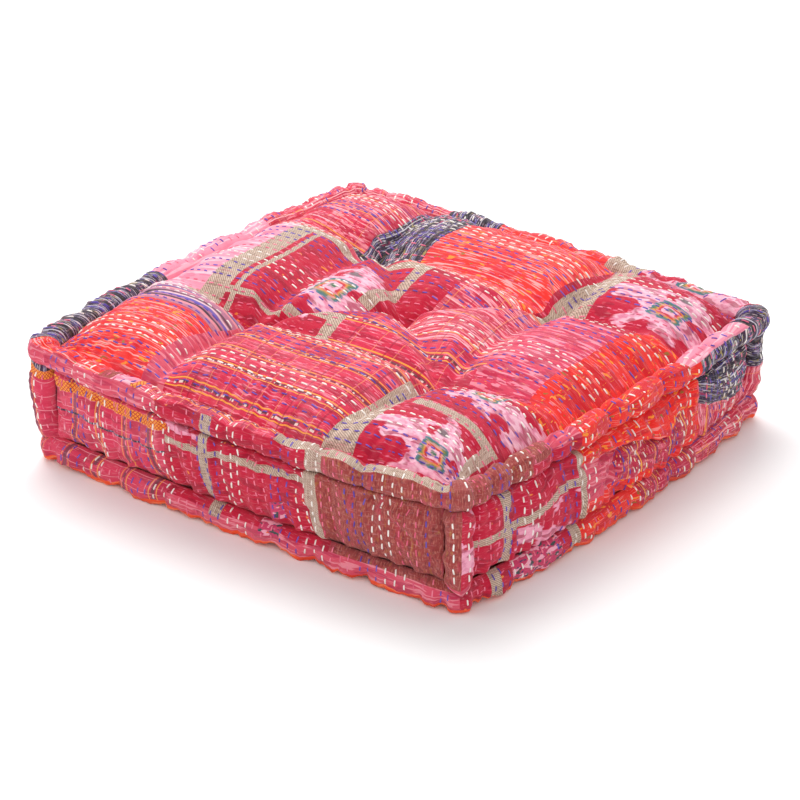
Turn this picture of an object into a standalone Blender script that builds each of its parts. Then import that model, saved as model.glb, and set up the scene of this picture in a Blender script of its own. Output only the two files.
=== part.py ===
"""Tufted patchwork floor cushion with rolled edges, built in Blender as closed solids.

Metres, +Z up. The origin is on the surface that the cushion stands on, at the middle of its outline.
The front wall faces -Y. Seen from above, the corners are named left (-X -Y), front (+X -Y),
right (+X +Y) and back (-X +Y), as they stand in the view towards the front corner.

The filled body has a flat, narrow seat along each of its edges, and every roll is a round of cloth
with one flat side that lies on its seat. The front side swells out more than the back, so all pieces
are set back by SET_BACK, which brings the middle of the outline over the origin.
"""

import math

import bmesh
import bpy
import numpy as np

# Driving sizes of the whole cushion: its side between the corner seams, and the top of the top roll
SIDE = 0.500
HALF = SIDE / 2
SET_BACK = 0.0043
ROLL_TOP = 0.122
CORNER_RADIUS = 0.015
INNER_RADIUS_SHARE = 0.25
INNER_REACH = 0.026
STEPS_PER_SIDE = 38
STEPS_PER_CORNER = 6
CORNER_SHARE = STEPS_PER_CORNER / 2 / STEPS_PER_SIDE
LOOP = 4 * STEPS_PER_SIDE

# Rolled edges: radius of the round, and how far its middle is from its flat side
TOP_ROLL_RADIUS = 0.0120
BASE_ROLL_RADIUS = 0.0125
CORNER_ROLL_RADIUS = 0.0140
ROLL_SEAT_OFFSET = 0.0080
CORNER_SEAT_OFFSET = 0.0090
CORNER_SIDES = 14
CORNER_ROWS = 8
CORNER_UNEVENNESS = 0.20
ROLL_SIDES = 9
RIDGE_HEIGHT = 0.0018
RIDGE_PLACE = 0.5
FIT_GAP = 0.00035
END_GAP = 0.0005
ROW_STEP = 0.0004
ROLL_INSET = 0.0005

# Gathers that pinch a roll: the steps from one stitch to the next, and how deep they pinch it on the
# front, right, back and left sides, as a share of the radius
GATHER_STEPS = (2, 3, 3, 4)
GATHER_DEPTHS = (0.14, 0.34, 0.30, 0.26)
GATHER_SPILL = 0.22
SQUEEZE_SPREAD = 0.6

# Tufted top
CROWN = 0.0320
CROWN_RISE = 0.019
TUFT_DROP = 0.0360
TUFT_REACH = 0.0240
TUFT_POINT = 1.4
CREASE_REACH = 0.0200
CREASE_POINT = 1.5
CREASE_SPREAD = 0.7
RELAX_ROUNDS = 120
TUFT_PULL_REACH = 0.040
TUFTS = {
    "left": (-0.107, -0.092),
    "back": (-0.109, 0.106),
    "front": (0.108, -0.089),
    "right": (0.106, 0.101),
    "middle": (-0.007, 0.007),
}

# Creases between tufts, and from a tuft to the edge: start, end, and the drop at the start, middle and end
CREASES = (
    # start, end, drop_start, drop_middle, drop_end
    ("middle", "left", 0.034, 0.016, 0.034),
    ("middle", "back", 0.034, 0.015, 0.034),
    ("middle", "front", 0.034, 0.017, 0.034),
    ("middle", "right", 0.034, 0.015, 0.034),
    ("left", "back", 0.034, 0.013, 0.034),
    ("back", "right", 0.034, 0.012, 0.034),
    ("right", "front", 0.034, 0.013, 0.034),
    ("front", "left", 0.034, 0.014, 0.034),
    ("left", (-0.226, -0.064), 0.034, 0.021, 0.012),
    ("left", (-0.100, -0.226), 0.034, 0.023, 0.014),
    ("back", (-0.226, 0.112), 0.034, 0.019, 0.010),
    ("back", (-0.128, 0.226), 0.034, 0.020, 0.012),
    ("front", (0.226, -0.070), 0.034, 0.020, 0.012),
    ("front", (0.092, -0.226), 0.034, 0.020, 0.012),
    ("right", (0.226, 0.112), 0.034, 0.019, 0.010),
    ("right", (0.090, 0.226), 0.034, 0.021, 0.012),
)

# Base: it lies flat, but for its tufts, its creases and the rise to the rolled edge
BASE_INSET = 0.0040
BASE_TUFT_RISE = 0.0140
BASE_CREASE_SHARE = 0.35
BASE_CREASE_FLOOR = 0.016
BASE_EDGE_REACH = 0.011
BASE_FLAT_DEPTH = 0.0012

# Walls: how far they swell, and their rows from the top roll down to the base roll
WALL_INSET = 0.0142
WALL_SWELL = 0.0132
WALL_FULLNESS = 0.4
CORNER_TUCK = 20
WALL_ROWS = 7

# Unevenness of the two edges, by distance round them: 0 is the left corner, 1 the front corner,
# 2 the right one and 3 the back one. Outwards and upwards shifts are in millimetres.
EDGE_TABLE = (
    # place, top_out, top_up, base_out, base_up
    (0.00, 2.0, 3.0, 0.0, 2.0),
    (0.25, 11.0, 0.0, 4.0, 0.0),
    (0.50, 14.0, -1.5, 6.0, 0.5),
    (0.75, 11.5, -1.5, 4.0, 0.0),
    (1.00, 0.5, 1.0, 1.0, 0.0),
    (1.25, 4.5, -3.0, 12.0, 0.0),
    (1.50, 8.0, -5.0, 16.0, 0.5),
    (1.75, 6.5, -6.5, 11.5, 0.5),
    (2.00, 1.0, -6.5, 0.5, 3.0),
    (2.25, 3.0, -4.0, 6.0, 0.5),
    (2.50, 5.0, -1.5, 9.0, 0.0),
    (2.75, 3.0, -0.5, 6.0, 0.5),
    (3.00, 0.0, 0.0, 0.0, 2.0),
    (3.25, 9.0, 2.5, 7.0, 0.0),
    (3.50, 12.5, 3.5, 10.0, 0.5),
    (3.75, 10.5, 3.5, 7.0, 0.0),
)

# Creases and tucks in the walls: the place round the cushion where each starts and ends, its height
# there as a share of the wall from the top, and its depth in millimetres
WALL_CREASES = (
    # place_start, share_start, place_end, share_end, depth
    (0.10, 0.10, 0.34, 0.16, 3.5),
    (0.14, 0.78, 0.36, 0.92, 3.0),
    (0.36, 0.05, 0.37, 0.95, 4.0),
    (0.52, 0.12, 0.66, 0.20, 3.0),
    (0.73, 0.05, 0.74, 0.90, 3.0),
    (0.80, 0.16, 0.92, 0.10, 3.0),
    (1.16, 0.10, 1.30, 0.16, 3.0),
    (1.42, 0.62, 1.46, 0.92, 6.0),
    (1.50, 0.52, 1.70, 0.36, 7.0),
    (1.40, 0.10, 1.43, 0.55, 4.0),
    (1.84, 0.22, 1.94, 0.30, 4.5),
    (1.80, 0.55, 1.96, 0.62, 3.0),
    (2.20, 0.15, 2.42, 0.30, 4.0),
    (2.60, 0.20, 2.62, 0.85, 3.5),
    (2.75, 0.60, 2.90, 0.50, 4.0),
    (3.15, 0.20, 3.30, 0.25, 3.5),
    (3.48, 0.10, 3.50, 0.90, 3.5),
    (3.70, 0.45, 3.88, 0.60, 3.5),
)
WALL_CREASE_REACH = 0.0085

COLOURS = {
    "cushion_body": (0.62, 0.07, 0.11, 1.0),
    "top_edge_roll": (0.66, 0.14, 0.18, 1.0),
    "base_edge_roll": (0.68, 0.20, 0.24, 1.0),
    "corner_roll": (0.50, 0.08, 0.12, 1.0),
}
CLOTH_ROUGHNESS = 0.9
MM = 0.001


def cloth_material(name, colour):
    """A matt cloth material."""
    material = bpy.data.materials.new(f"{name}_cloth")
    material.use_nodes = True
    shader = material.node_tree.nodes["Principled BSDF"]
    shader.inputs["Base Color"].default_value = colour
    shader.inputs["Roughness"].default_value = CLOTH_ROUGHNESS
    shader.inputs["Metallic"].default_value = 0.0
    return material


def along_table(place, column):
    """One column of EDGE_TABLE at each place round the cushion, in metres, on a smooth closed curve."""
    rows = len(EDGE_TABLE)
    values = np.array([row[column] for row in EDGE_TABLE]) * MM
    at = np.mod(np.asarray(place, float), 4.0) / 4.0 * rows
    first = np.floor(at).astype(int)
    t = at - first
    before, here, after, later = (values[(first + k) % rows] for k in (-1, 0, 1, 2))
    slope_here = (after - before) / 2
    slope_after = (later - here) / 2
    return (
        (2 * t**3 - 3 * t**2 + 1) * here
        + (t**3 - 2 * t**2 + t) * slope_here
        + (3 * t**2 - 2 * t**3) * after
        + (t**3 - t**2) * slope_after
    )


def loop_places():
    """Where the columns of the body and of the rolls stand, from 0 round to 4."""
    return np.arange(LOOP) / STEPS_PER_SIDE


def corner_direction(corner):
    """The outward direction of a corner, by its number."""
    x = (-1, 1, 1, -1)[corner % 4]
    y = (-1, -1, 1, 1)[corner % 4]
    return np.array([x, y]) / math.sqrt(2)


def turned(x, y, side):
    """A point of the front side, turned to the same place on side 0 front, 1 right, 2 back or 3 left."""
    return np.choose(side, (x, -y, -x, y)), np.choose(side, (y, x, -y, -x))


def outline(place, half, radius):
    """Points of a square with rounded corners, and their outward directions."""
    place = np.mod(np.asarray(place, float), 4.0)
    side = np.floor(place).astype(int)
    step = place - side
    flat = half - radius
    from_middle = (step - 0.5) / (0.5 - CORNER_SHARE)
    in_corner = np.abs(from_middle) > 1
    into_corner = (np.abs(step - 0.5) - (0.5 - CORNER_SHARE)) / CORNER_SHARE
    angle = np.sign(from_middle) * into_corner.clip(0, 1) * math.pi / 4
    out_x, out_y = np.sin(angle), -np.cos(angle)
    x = np.where(in_corner, np.sign(from_middle), from_middle) * flat + radius * out_x
    y = radius * out_y - flat
    plan = np.stack(turned(x, y, side), -1)
    outward = np.stack(turned(out_x, out_y, side), -1)
    return plan, outward


def bend(inset):
    """The radius of the corners at this distance in from the outline."""
    return CORNER_RADIUS * (1 - (1 - INNER_RADIUS_SHARE) * np.minimum(inset / INNER_REACH, 1))


def top_edge(place, inset, height):
    """Points round the top edge, this far in from the outline and at this height."""
    plan, outward = outline(place, HALF - inset, bend(inset))
    plan = plan + outward * along_table(place, 1)[..., None]
    return np.concatenate([plan, (height + along_table(place, 2))[..., None]], -1)


def base_edge(place, inset, height):
    """Points round the base edge, this far in from the base's own outline and at this height."""
    plan, outward = outline(place, HALF - BASE_INSET - inset, bend(inset))
    plan = plan + outward * along_table(place, 3)[..., None]
    return np.concatenate([plan, (height + along_table(place, 4))[..., None]], -1)


class RolledEdge:
    """The section of a rolled edge: a round with one flat side, facing inwards at 45 degrees."""

    def __init__(self, radius, middle_height, seat_side, edge):
        self.radius = radius
        self.middle_inset = radius + ROLL_INSET
        self.middle_height = middle_height
        self.seat_side = seat_side
        self.edge = edge

    def seat_ends(self, gap):
        """(inset, height) of the flat side's two ends, moved this far into the body."""
        toward = np.array([1.0, self.seat_side]) / math.sqrt(2)
        along = np.array([1.0, -self.seat_side]) / math.sqrt(2)
        half_chord = math.sqrt(self.radius**2 - ROLL_SEAT_OFFSET**2)
        middle = np.array([self.middle_inset, self.middle_height])
        centre = middle + toward * (ROLL_SEAT_OFFSET + gap)
        return centre + along * half_chord, centre - along * half_chord

    def round_points(self, squeeze):
        """(inset, height) of the round part, from the inner end of the flat side to the outer one."""
        half_angle = math.acos(ROLL_SEAT_OFFSET / self.radius)
        facing = math.atan2(self.seat_side, 1.0)
        turn = -self.seat_side
        start = facing + turn * half_angle
        sweep = turn * (2 * math.pi - 2 * half_angle)
        share = np.linspace(0, 1, ROLL_SIDES)
        angle = start + sweep * share
        swell = 1 - squeeze * np.sin(np.pi * share) ** SQUEEZE_SPREAD
        radius = self.radius * swell
        at_ridge = np.argmin(np.abs(share - RIDGE_PLACE))
        radius[at_ridge] += RIDGE_HEIGHT * (1 - squeeze)
        inset = self.middle_inset + radius * np.cos(angle)
        height = self.middle_height + radius * np.sin(angle)
        return np.stack([inset, height], -1)


TOP_ROLL = RolledEdge(TOP_ROLL_RADIUS, ROLL_TOP - TOP_ROLL_RADIUS, -1, top_edge)
BASE_ROLL = RolledEdge(BASE_ROLL_RADIUS, BASE_ROLL_RADIUS, 1, base_edge)


def pinches(seed):
    """How strongly each column of a roll is pinched by the stitches, from 0 to nearly 1."""
    rng = np.random.default_rng(seed)
    squeeze = np.zeros(LOOP)
    column = int(rng.choice(GATHER_STEPS))
    while column < LOOP:
        side = column // STEPS_PER_SIDE
        squeeze[column] = GATHER_DEPTHS[side] * rng.uniform(0.7, 1.2)
        column += int(rng.choice(GATHER_STEPS))
    neighbours = np.maximum(np.roll(squeeze, 1), np.roll(squeeze, -1))
    return np.maximum(squeeze, GATHER_SPILL * neighbours)


def distance_to_segment(x, y, start, end):
    """Distance from each point to a segment, and how far along it the nearest point is."""
    ax, ay = start
    dx, dy = end[0] - ax, end[1] - ay
    t = np.clip(((x - ax) * dx + (y - ay) * dy) / (dx * dx + dy * dy), 0, 1)
    return np.hypot(x - ax - t * dx, y - ay - t * dy), t


def tuft_drop(x, y):
    """How far the tufts and creases pull the top down at each plan point."""
    drop = np.zeros_like(x)
    for centre in TUFTS.values():
        away = np.hypot(x - centre[0], y - centre[1])
        drop = np.maximum(drop, TUFT_DROP * np.exp(-((away / TUFT_REACH) ** TUFT_POINT)))
    for start, end, drop_start, drop_middle, drop_end in CREASES:
        start = TUFTS[start] if isinstance(start, str) else start
        end = TUFTS[end] if isinstance(end, str) else end
        away, t = distance_to_segment(x, y, start, end)
        ends = drop_start * (1 - t) + drop_end * t
        sag = (drop_middle - (drop_start + drop_end) / 2) * np.sin(np.pi * t) ** CREASE_SPREAD
        drop = np.maximum(drop, (ends + sag) * np.exp(-((away / CREASE_REACH) ** CREASE_POINT)))
    return drop


def coons(front, right, back, left):
    """Fills a square of points from its four sides: rows run along +X, and columns along +Y."""
    n = len(front)
    u = np.linspace(0, 1, n)[None, :, None]
    v = np.linspace(0, 1, n)[:, None, None]
    across = (1 - u) * left[:, None, :] + u * right[:, None, :]
    up = (1 - v) * front[None, :, :] + v * back[None, :, :]
    corners = (
        (1 - u) * (1 - v) * front[0]
        + u * (1 - v) * front[-1]
        + (1 - u) * v * back[0]
        + u * v * back[-1]
    )
    return across + up - corners


def panel_from_loop(loop):
    """A square of points whose rim is this closed loop, evenly spread and with a point at each tuft."""
    n = STEPS_PER_SIDE
    ring = np.concatenate([loop, loop[:1]])
    front, right = ring[: n + 1], ring[n : 2 * n + 1]
    back, left = ring[2 * n : 3 * n + 1][::-1], ring[3 * n : 4 * n + 1][::-1]
    points = coons(front, right, back, left)
    for _ in range(RELAX_ROUNDS):
        across = points[1:-1, :-2] + points[1:-1, 2:]
        up = points[:-2, 1:-1] + points[2:, 1:-1]
        points[1:-1, 1:-1] = (across + up) / 4
    for centre in TUFTS.values():
        offset = np.array(centre) - points[..., :2]
        away = np.hypot(offset[..., 0], offset[..., 1])
        nearest = np.unravel_index(np.argmin(away), away.shape)
        pull = np.exp(-((away / TUFT_PULL_REACH) ** 2))
        points[1:-1, 1:-1, :2] += pull[1:-1, 1:-1, None] * offset[nearest]
    return points


def rim_rise(points, reach):
    """Rises from 0 at the rim to 1 inside it."""
    x, y = points[..., 0], points[..., 1]
    rise = np.ones_like(x)
    for away in (x - x[:, :1], x[:, -1:] - x, y - y[:1, :], y[-1:, :] - y):
        rise *= 1 - np.exp(-away.clip(0) / reach)
    return rise


def inside(points):
    """True for every point of a panel that isn't on its rim."""
    mask = np.zeros(points.shape[:2], bool)
    mask[1:-1, 1:-1] = True
    return mask


def top_panel(loop):
    """The crowned and tufted top, whose rim lies in the roll's inner channel."""
    points = panel_from_loop(loop)
    rise = rim_rise(points, CROWN_RISE)
    crown = rise * (CROWN - tuft_drop(points[..., 0], points[..., 1]))
    points[..., 2] += np.where(inside(points), crown, 0)
    return points


def base_panel(loop):
    """The base: flat on the floor between its tufts, its creases and its rim."""
    points = panel_from_loop(loop)
    x, y = points[..., 0], points[..., 1]
    rise = rim_rise(points, BASE_EDGE_REACH)
    dimple = np.zeros_like(x)
    for centre in TUFTS.values():
        away = np.hypot(x - centre[0], y - centre[1])
        dimple = np.maximum(dimple, BASE_TUFT_RISE * np.exp(-((away / TUFT_REACH) ** 2)))
    crease = BASE_CREASE_SHARE * (tuft_drop(x, y) - BASE_CREASE_FLOOR)
    lifted = np.maximum(dimple, crease) * rise + points[..., 2] * (1 - rise) - BASE_FLAT_DEPTH
    points[..., 2] = np.where(inside(points), lifted.clip(0), points[..., 2])
    return points


def split_quads(bm, faces):
    """Splits the quads of a panel so that their diagonals run along the creases from the middle tuft."""
    middle_x, middle_y = TUFTS["middle"]
    groups = {"FIXED": [], "ALTERNATE": []}
    for face in faces:
        centre = face.calc_center_median()
        rising = (centre.x - middle_x) * (centre.y - middle_y) > 0
        groups["FIXED" if rising else "ALTERNATE"].append(face)
    for method, group in groups.items():
        bmesh.ops.triangulate(bm, faces=group, quad_method=method)


def wall_dent(place, share):
    """Depth of the wall's creases at these places and shares of its height."""
    wall_height = ROLL_TOP - 2 * TOP_ROLL_RADIUS - 2 * BASE_ROLL_RADIUS
    dent = np.zeros_like(place + share)
    for start, share_start, end, share_end, depth in WALL_CREASES:
        away, _ = distance_to_segment(
            place * SIDE,
            share * wall_height,
            (start * SIDE, share_start * wall_height),
            (end * SIDE, share_end * wall_height),
        )
        dent = np.maximum(dent, depth * MM * np.exp(-((away / WALL_CREASE_REACH) ** CREASE_POINT)))
    return dent


def corner_seat(corner):
    """Plan middle of the flat that carries an upright corner roll, its outward direction and its half width."""
    outward = corner_direction(corner)
    reach = (HALF - CORNER_RADIUS) * math.sqrt(2) + CORNER_RADIUS
    shift = (along_table(corner, 1) + along_table(corner, 3)) / 2
    middle = outward * (reach + shift - CORNER_ROLL_RADIUS)
    half_chord = math.sqrt(CORNER_ROLL_RADIUS**2 - CORNER_SEAT_OFFSET**2)
    return middle, outward, half_chord


def wall_plan(places, share):
    """Plan points of one row of the walls: swollen sides between the flats of the corner rolls."""
    n = STEPS_PER_SIDE
    side = np.floor(places).astype(int) % 4
    step = np.round((places - np.floor(places)) * n).astype(int)
    seats = [corner_seat(corner) for corner in range(5)]
    reach = np.array([np.hypot(*middle) for middle, _, _ in seats]) - CORNER_SEAT_OFFSET - FIT_GAP
    half_chord = seats[0][2]
    near = (reach + half_chord) / math.sqrt(2)
    far = (reach - half_chord) / math.sqrt(2)
    along = (step - 1) / (n - 2)
    run = -far[side] * (1 - along) + far[side + 1] * along
    flush = near[side] * (1 - along) + near[side + 1] * along
    end = np.minimum(along, 1 - along).clip(0) * 2
    shift = along_table(places, 1) * (1 - share) + along_table(places, 3) * share
    inset = WALL_INSET + BASE_INSET * share - WALL_SWELL * math.sin(math.pi * share) ** WALL_FULLNESS
    full = HALF - inset + shift - wall_dent(places, share)
    out = flush + (full - flush) * (1 - np.exp(-end * CORNER_TUCK))
    plan = np.stack(turned(run, -out, side), -1)
    for corner in range(4):
        plan[corner * n] = corner_direction(corner) * reach[corner]
    return plan


def wall_rows(top_channel, base_channel):
    """Rows of the walls between the two channels, from the top down."""
    places = loop_places()
    rows = []
    highest = top_channel[:, 2] - ROW_STEP
    lowest = base_channel[:, 2] + ROW_STEP
    for share in np.linspace(0, 1, WALL_ROWS + 1):
        plan = wall_plan(places, share)
        height = highest * (1 - share) + lowest * share
        rows.append(np.concatenate([plan, height[:, None]], -1))
    return rows


def object_from(name, mesh, colour, collection):
    """Links a mesh to a new object with its own cloth, and turns its faces outwards."""
    bm = bmesh.new()
    bm.from_mesh(mesh)
    bmesh.ops.recalc_face_normals(bm, faces=bm.faces)
    bm.to_mesh(mesh)
    bm.free()
    mesh.shade_smooth()
    obj = bpy.data.objects.new(name, mesh)
    obj.location.y = SET_BACK
    obj.data.materials.append(cloth_material(name, colour))
    collection.objects.link(obj)


def build_body(collection):
    """The filled body: two grids for the top and the base, joined by rows drawn down from the rim."""
    places = loop_places()
    inner, outer = TOP_ROLL.seat_ends(FIT_GAP)
    top_rim = top_edge(places, *inner)
    top_channel = top_edge(places, *outer)
    inner, outer = BASE_ROLL.seat_ends(FIT_GAP)
    base_rim = base_edge(places, *inner)
    base_channel = base_edge(places, *outer)
    n = STEPS_PER_SIDE + 1
    bm = bmesh.new()
    for panel in (top_panel(top_rim), base_panel(base_rim)):
        grid = bmesh.ops.create_grid(bm, x_segments=n - 1, y_segments=n - 1, size=0.5)
        split_quads(bm, {face for vertex in grid["verts"] for face in vertex.link_faces})
        for vertex in grid["verts"]:
            column = round((vertex.co.x + 0.5) * (n - 1))
            row = round((vertex.co.y + 0.5) * (n - 1))
            vertex.co = panel[row, column]
    loops = [top_rim, top_channel]
    loops += wall_rows(top_channel, base_channel)
    loops += [base_channel, base_rim]
    rings = [[bm.verts.new(point) for point in loop] for loop in loops]
    for upper, lower in zip(rings[:-1], rings[1:]):
        for k in range(LOOP):
            after = (k + 1) % LOOP
            bm.faces.new((upper[k], lower[k], lower[after], upper[after]))
    bmesh.ops.remove_doubles(bm, verts=bm.verts, dist=1e-6)
    mesh = bpy.data.meshes.new("cushion_body")
    bm.to_mesh(mesh)
    bm.free()
    object_from("cushion_body", mesh, COLOURS["cushion_body"], collection)


def build_edge_roll(name, roll, seed, collection):
    """A roll all round the cushion: a torus whose sections are laid along the edge and pinched by stitches."""
    bpy.ops.mesh.primitive_torus_add(major_segments=LOOP, minor_segments=ROLL_SIDES)
    torus = bpy.context.active_object
    mesh = torus.data.copy()
    bpy.data.objects.remove(torus)
    mesh.name = name
    sections = np.stack([roll.round_points(squeeze) for squeeze in pinches(seed)])
    points = roll.edge(loop_places()[:, None], sections[..., 0], sections[..., 1])
    points[..., 2] = points[..., 2].clip(0)
    mesh.vertices.foreach_set("co", points.astype(np.float32).ravel())
    object_from(name, mesh, COLOURS[name], collection)


def build_corner_roll(name, corner, seed, collection):
    """An upright roll: a cylinder laid against the body's corner flat, between the two edge rolls."""
    middle, outward, _ = corner_seat(corner)
    sideways = np.array([-outward[1], outward[0]])
    footprint = corner + np.linspace(-0.07, 0.07, 15)
    under_top = TOP_ROLL.seat_ends(FIT_GAP)[1][1] - ROW_STEP - END_GAP
    over_base = BASE_ROLL.seat_ends(FIT_GAP)[1][1] + ROW_STEP + END_GAP
    top = under_top + along_table(footprint, 2).min()
    foot = over_base + along_table(footprint, 4).max()
    bm = bmesh.new()
    bmesh.ops.create_cone(bm, cap_ends=True, segments=CORNER_SIDES, radius1=1, radius2=1, depth=1)
    upright = [e for e in bm.edges if abs(e.verts[0].co.z - e.verts[1].co.z) > 0.5]
    bmesh.ops.subdivide_edges(bm, edges=upright, cuts=CORNER_ROWS - 1)
    rng = np.random.default_rng(seed)
    swells = 1 - rng.uniform(0, CORNER_UNEVENNESS, CORNER_ROWS + 1)
    for vertex in bm.verts:
        level = round((vertex.co.z + 0.5) * CORNER_ROWS)
        angle = math.atan2(vertex.co.x, vertex.co.y)
        radius = CORNER_ROLL_RADIUS * swells[level]
        if abs(angle) < math.pi / CORNER_SIDES:
            radius += RIDGE_HEIGHT
        out = max(radius * math.cos(angle), -CORNER_SEAT_OFFSET)
        plan = middle + outward * out + sideways * radius * math.sin(angle)
        vertex.co = (plan[0], plan[1], foot + (top - foot) * level / CORNER_ROWS)
    mesh = bpy.data.meshes.new(name)
    bm.to_mesh(mesh)
    bm.free()
    object_from(name, mesh, COLOURS["corner_roll"], collection)


def clear_scene():
    """Removes every object that the startup scene holds."""
    for obj in list(bpy.data.objects):
        bpy.data.objects.remove(obj, do_unlink=True)


def main():
    """Builds the cushion's seven solids."""
    clear_scene()
    collection = bpy.data.collections.new("patchwork_cushion")
    bpy.context.scene.collection.children.link(collection)
    build_body(collection)
    build_edge_roll("top_edge_roll", TOP_ROLL, 3, collection)
    build_edge_roll("base_edge_roll", BASE_ROLL, 8, collection)
    for corner, name in enumerate(("left", "front", "right", "back")):
        build_corner_roll(f"corner_roll_{name}", corner, 20 + corner, collection)


main()
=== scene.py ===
"""Looks of a tufted patchwork seat cushion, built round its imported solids.

Metres, +Z up. The front wall faces -Y, and the walls and rolls are followed round from the left corner,
past the front, right and back corners, as the edge of the cushion is sewn.
"""

import logging
import math
from dataclasses import dataclass, field
from enum import Enum

import bpy
import numpy as np
from mathutils import Matrix, Vector


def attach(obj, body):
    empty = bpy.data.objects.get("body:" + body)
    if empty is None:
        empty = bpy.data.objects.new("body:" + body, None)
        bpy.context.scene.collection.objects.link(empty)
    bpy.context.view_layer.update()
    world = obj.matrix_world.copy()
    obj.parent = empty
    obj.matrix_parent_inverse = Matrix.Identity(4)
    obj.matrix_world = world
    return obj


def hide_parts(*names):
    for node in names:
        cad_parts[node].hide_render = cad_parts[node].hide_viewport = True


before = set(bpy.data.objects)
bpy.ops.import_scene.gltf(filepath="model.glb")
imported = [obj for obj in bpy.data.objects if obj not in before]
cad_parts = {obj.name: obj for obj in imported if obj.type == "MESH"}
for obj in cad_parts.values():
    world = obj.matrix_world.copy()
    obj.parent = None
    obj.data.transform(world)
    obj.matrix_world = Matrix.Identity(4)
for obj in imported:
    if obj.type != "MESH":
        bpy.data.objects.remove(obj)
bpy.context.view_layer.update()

LOG = logging.getLogger("cushion")
MM = 0.001
BODY_SLOT = "body_cloth"
ROLL_SLOT = "roll_cloth"
CLOTH_MAP = "Cloth"
BAKE_MAP = "OFBake"
BAKE_MARGIN = 0.004
SET_BACK = 0.0043


# The cloths


class Fabric(Enum):
    """The cloths that the cushion is patched from."""

    CRIMSON_STRIPE = "crimson_stripe"
    CRIMSON_PLAID = "crimson_plaid"
    DEEP_CRIMSON = "deep_crimson"
    PINK_IKAT = "pink_ikat"
    IKAT_CLOUD = "ikat_cloud_plain"
    PINK_CRIMSON = "pink_crimson"
    VERMILION = "vermilion"
    KHAKI = "khaki_twill"
    DARK_PLAID = "dark_plaid"
    LIGHT_PINK = "light_pink"
    ROSE = "rose"
    BROWN = "brown_mottled"
    VIOLET_STRIPE = "violet_stripe"
    DIAMOND = "orange_diamond"
    FLECKED = "flecked_crimson"
    MULTICOLOUR = "dark_multicolour"
    ORANGE_RED = "orange_red"
    SCARLET = "scarlet_flame"
    FLAMED = "flamed_crimson"


class ThreadColour(Enum):
    """The colours of the running stitches, in the order that the rows take."""

    WHITE = "white"
    PINK = "pink"
    VIOLET = "violet"


def linear(code: str) -> tuple[float, float, float, float]:
    """Turns a colour as it is seen into the shader's linear one.

    Args:
        code: Six hexadecimal digits, red first.

    Returns:
        Linear red, green, blue and an alpha of one.
    """
    parts = [int(code[k : k + 2], 16) / 255 for k in (0, 2, 4)]
    low_end, low_slope, offset, power = 0.04045, 12.92, 0.055, 2.4
    red, green, blue = (
        part / low_slope if part <= low_end else ((part + offset) / (1 + offset)) ** power for part in parts
    )
    return red, green, blue, 1.0


class NodeBench:
    """Adds nodes to one node tree and joins them up."""

    def __init__(self, tree: bpy.types.NodeTree) -> None:
        """Takes the node tree that the nodes go into."""
        self.tree = tree

    def link(self, value: object, socket: bpy.types.NodeSocket) -> None:
        """Feeds a socket from another socket, or sets it to a plain value.

        Args:
            value: An output socket, or a number, vector or colour.
            socket: The input that takes it.
        """
        if isinstance(value, bpy.types.NodeSocket):
            self.tree.links.new(value, socket)
        else:
            socket.default_value = value

    def node(self, kind: str, inputs: dict[object, object] | None = None, **settings: object) -> bpy.types.Node:
        """Adds a node.

        Args:
            kind: The node's type name.
            inputs: What each input takes, by name or place.
            settings: The node's own settings.

        Returns:
            The new node.
        """
        node = self.tree.nodes.new(kind)
        for name, value in settings.items():
            setattr(node, name, value)
        for key, value in (inputs or {}).items():
            self.link(value, node.inputs[key])
        return node

    def math(self, operation: str, *values: object, clamp: bool = False) -> bpy.types.NodeSocket:
        """A Math node's result for these values."""
        node = self.node("ShaderNodeMath", dict(enumerate(values)), operation=operation, use_clamp=clamp)
        return node.outputs[0]

    def blend(self, factor: object, first: object, second: object, how: str = "MIX") -> bpy.types.NodeSocket:
        """The mix of two colours, by a factor."""
        inputs = {"Factor": factor, 6: first, 7: second}
        node = self.node("ShaderNodeMix", inputs, data_type="RGBA", blend_type=how, clamp_factor=True)
        return node.outputs[2]

    def step(self, value: object, low: object, high: object) -> bpy.types.NodeSocket:
        """A smooth step from 0 at low to 1 at high."""
        inputs = {"Value": value, "From Min": low, "From Max": high}
        node = self.node("ShaderNodeMapRange", inputs, interpolation_type="SMOOTHSTEP")
        return node.outputs[0]

    def split(self, vector: object) -> tuple[bpy.types.NodeSocket, bpy.types.NodeSocket]:
        """The first two parts of a vector."""
        outputs = self.node("ShaderNodeSeparateXYZ", {0: vector}).outputs
        return outputs[0], outputs[1]

    def join(self, x: object, y: object, z: object = 0.0) -> bpy.types.NodeSocket:
        """A vector from its parts."""
        return self.node("ShaderNodeCombineXYZ", {0: x, 1: y, 2: z}).outputs[0]

    def noise(self, vector: object, scale: object, detail: float = 2.0) -> bpy.types.NodeSocket:
        """A noise value round a half, at this scale."""
        inputs = {"Vector": vector, "Scale": scale, "Detail": detail}
        return self.node("ShaderNodeTexNoise", inputs, noise_dimensions="3D").outputs[0]

    def use(self, group: bpy.types.NodeTree, inputs: dict[object, object]) -> bpy.types.Node:
        """Places a node group, and feeds its named inputs."""
        node = self.tree.nodes.new("ShaderNodeGroup")
        node.node_tree = group
        for key, value in inputs.items():
            self.link(value, node.inputs[key])
        return node


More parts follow.
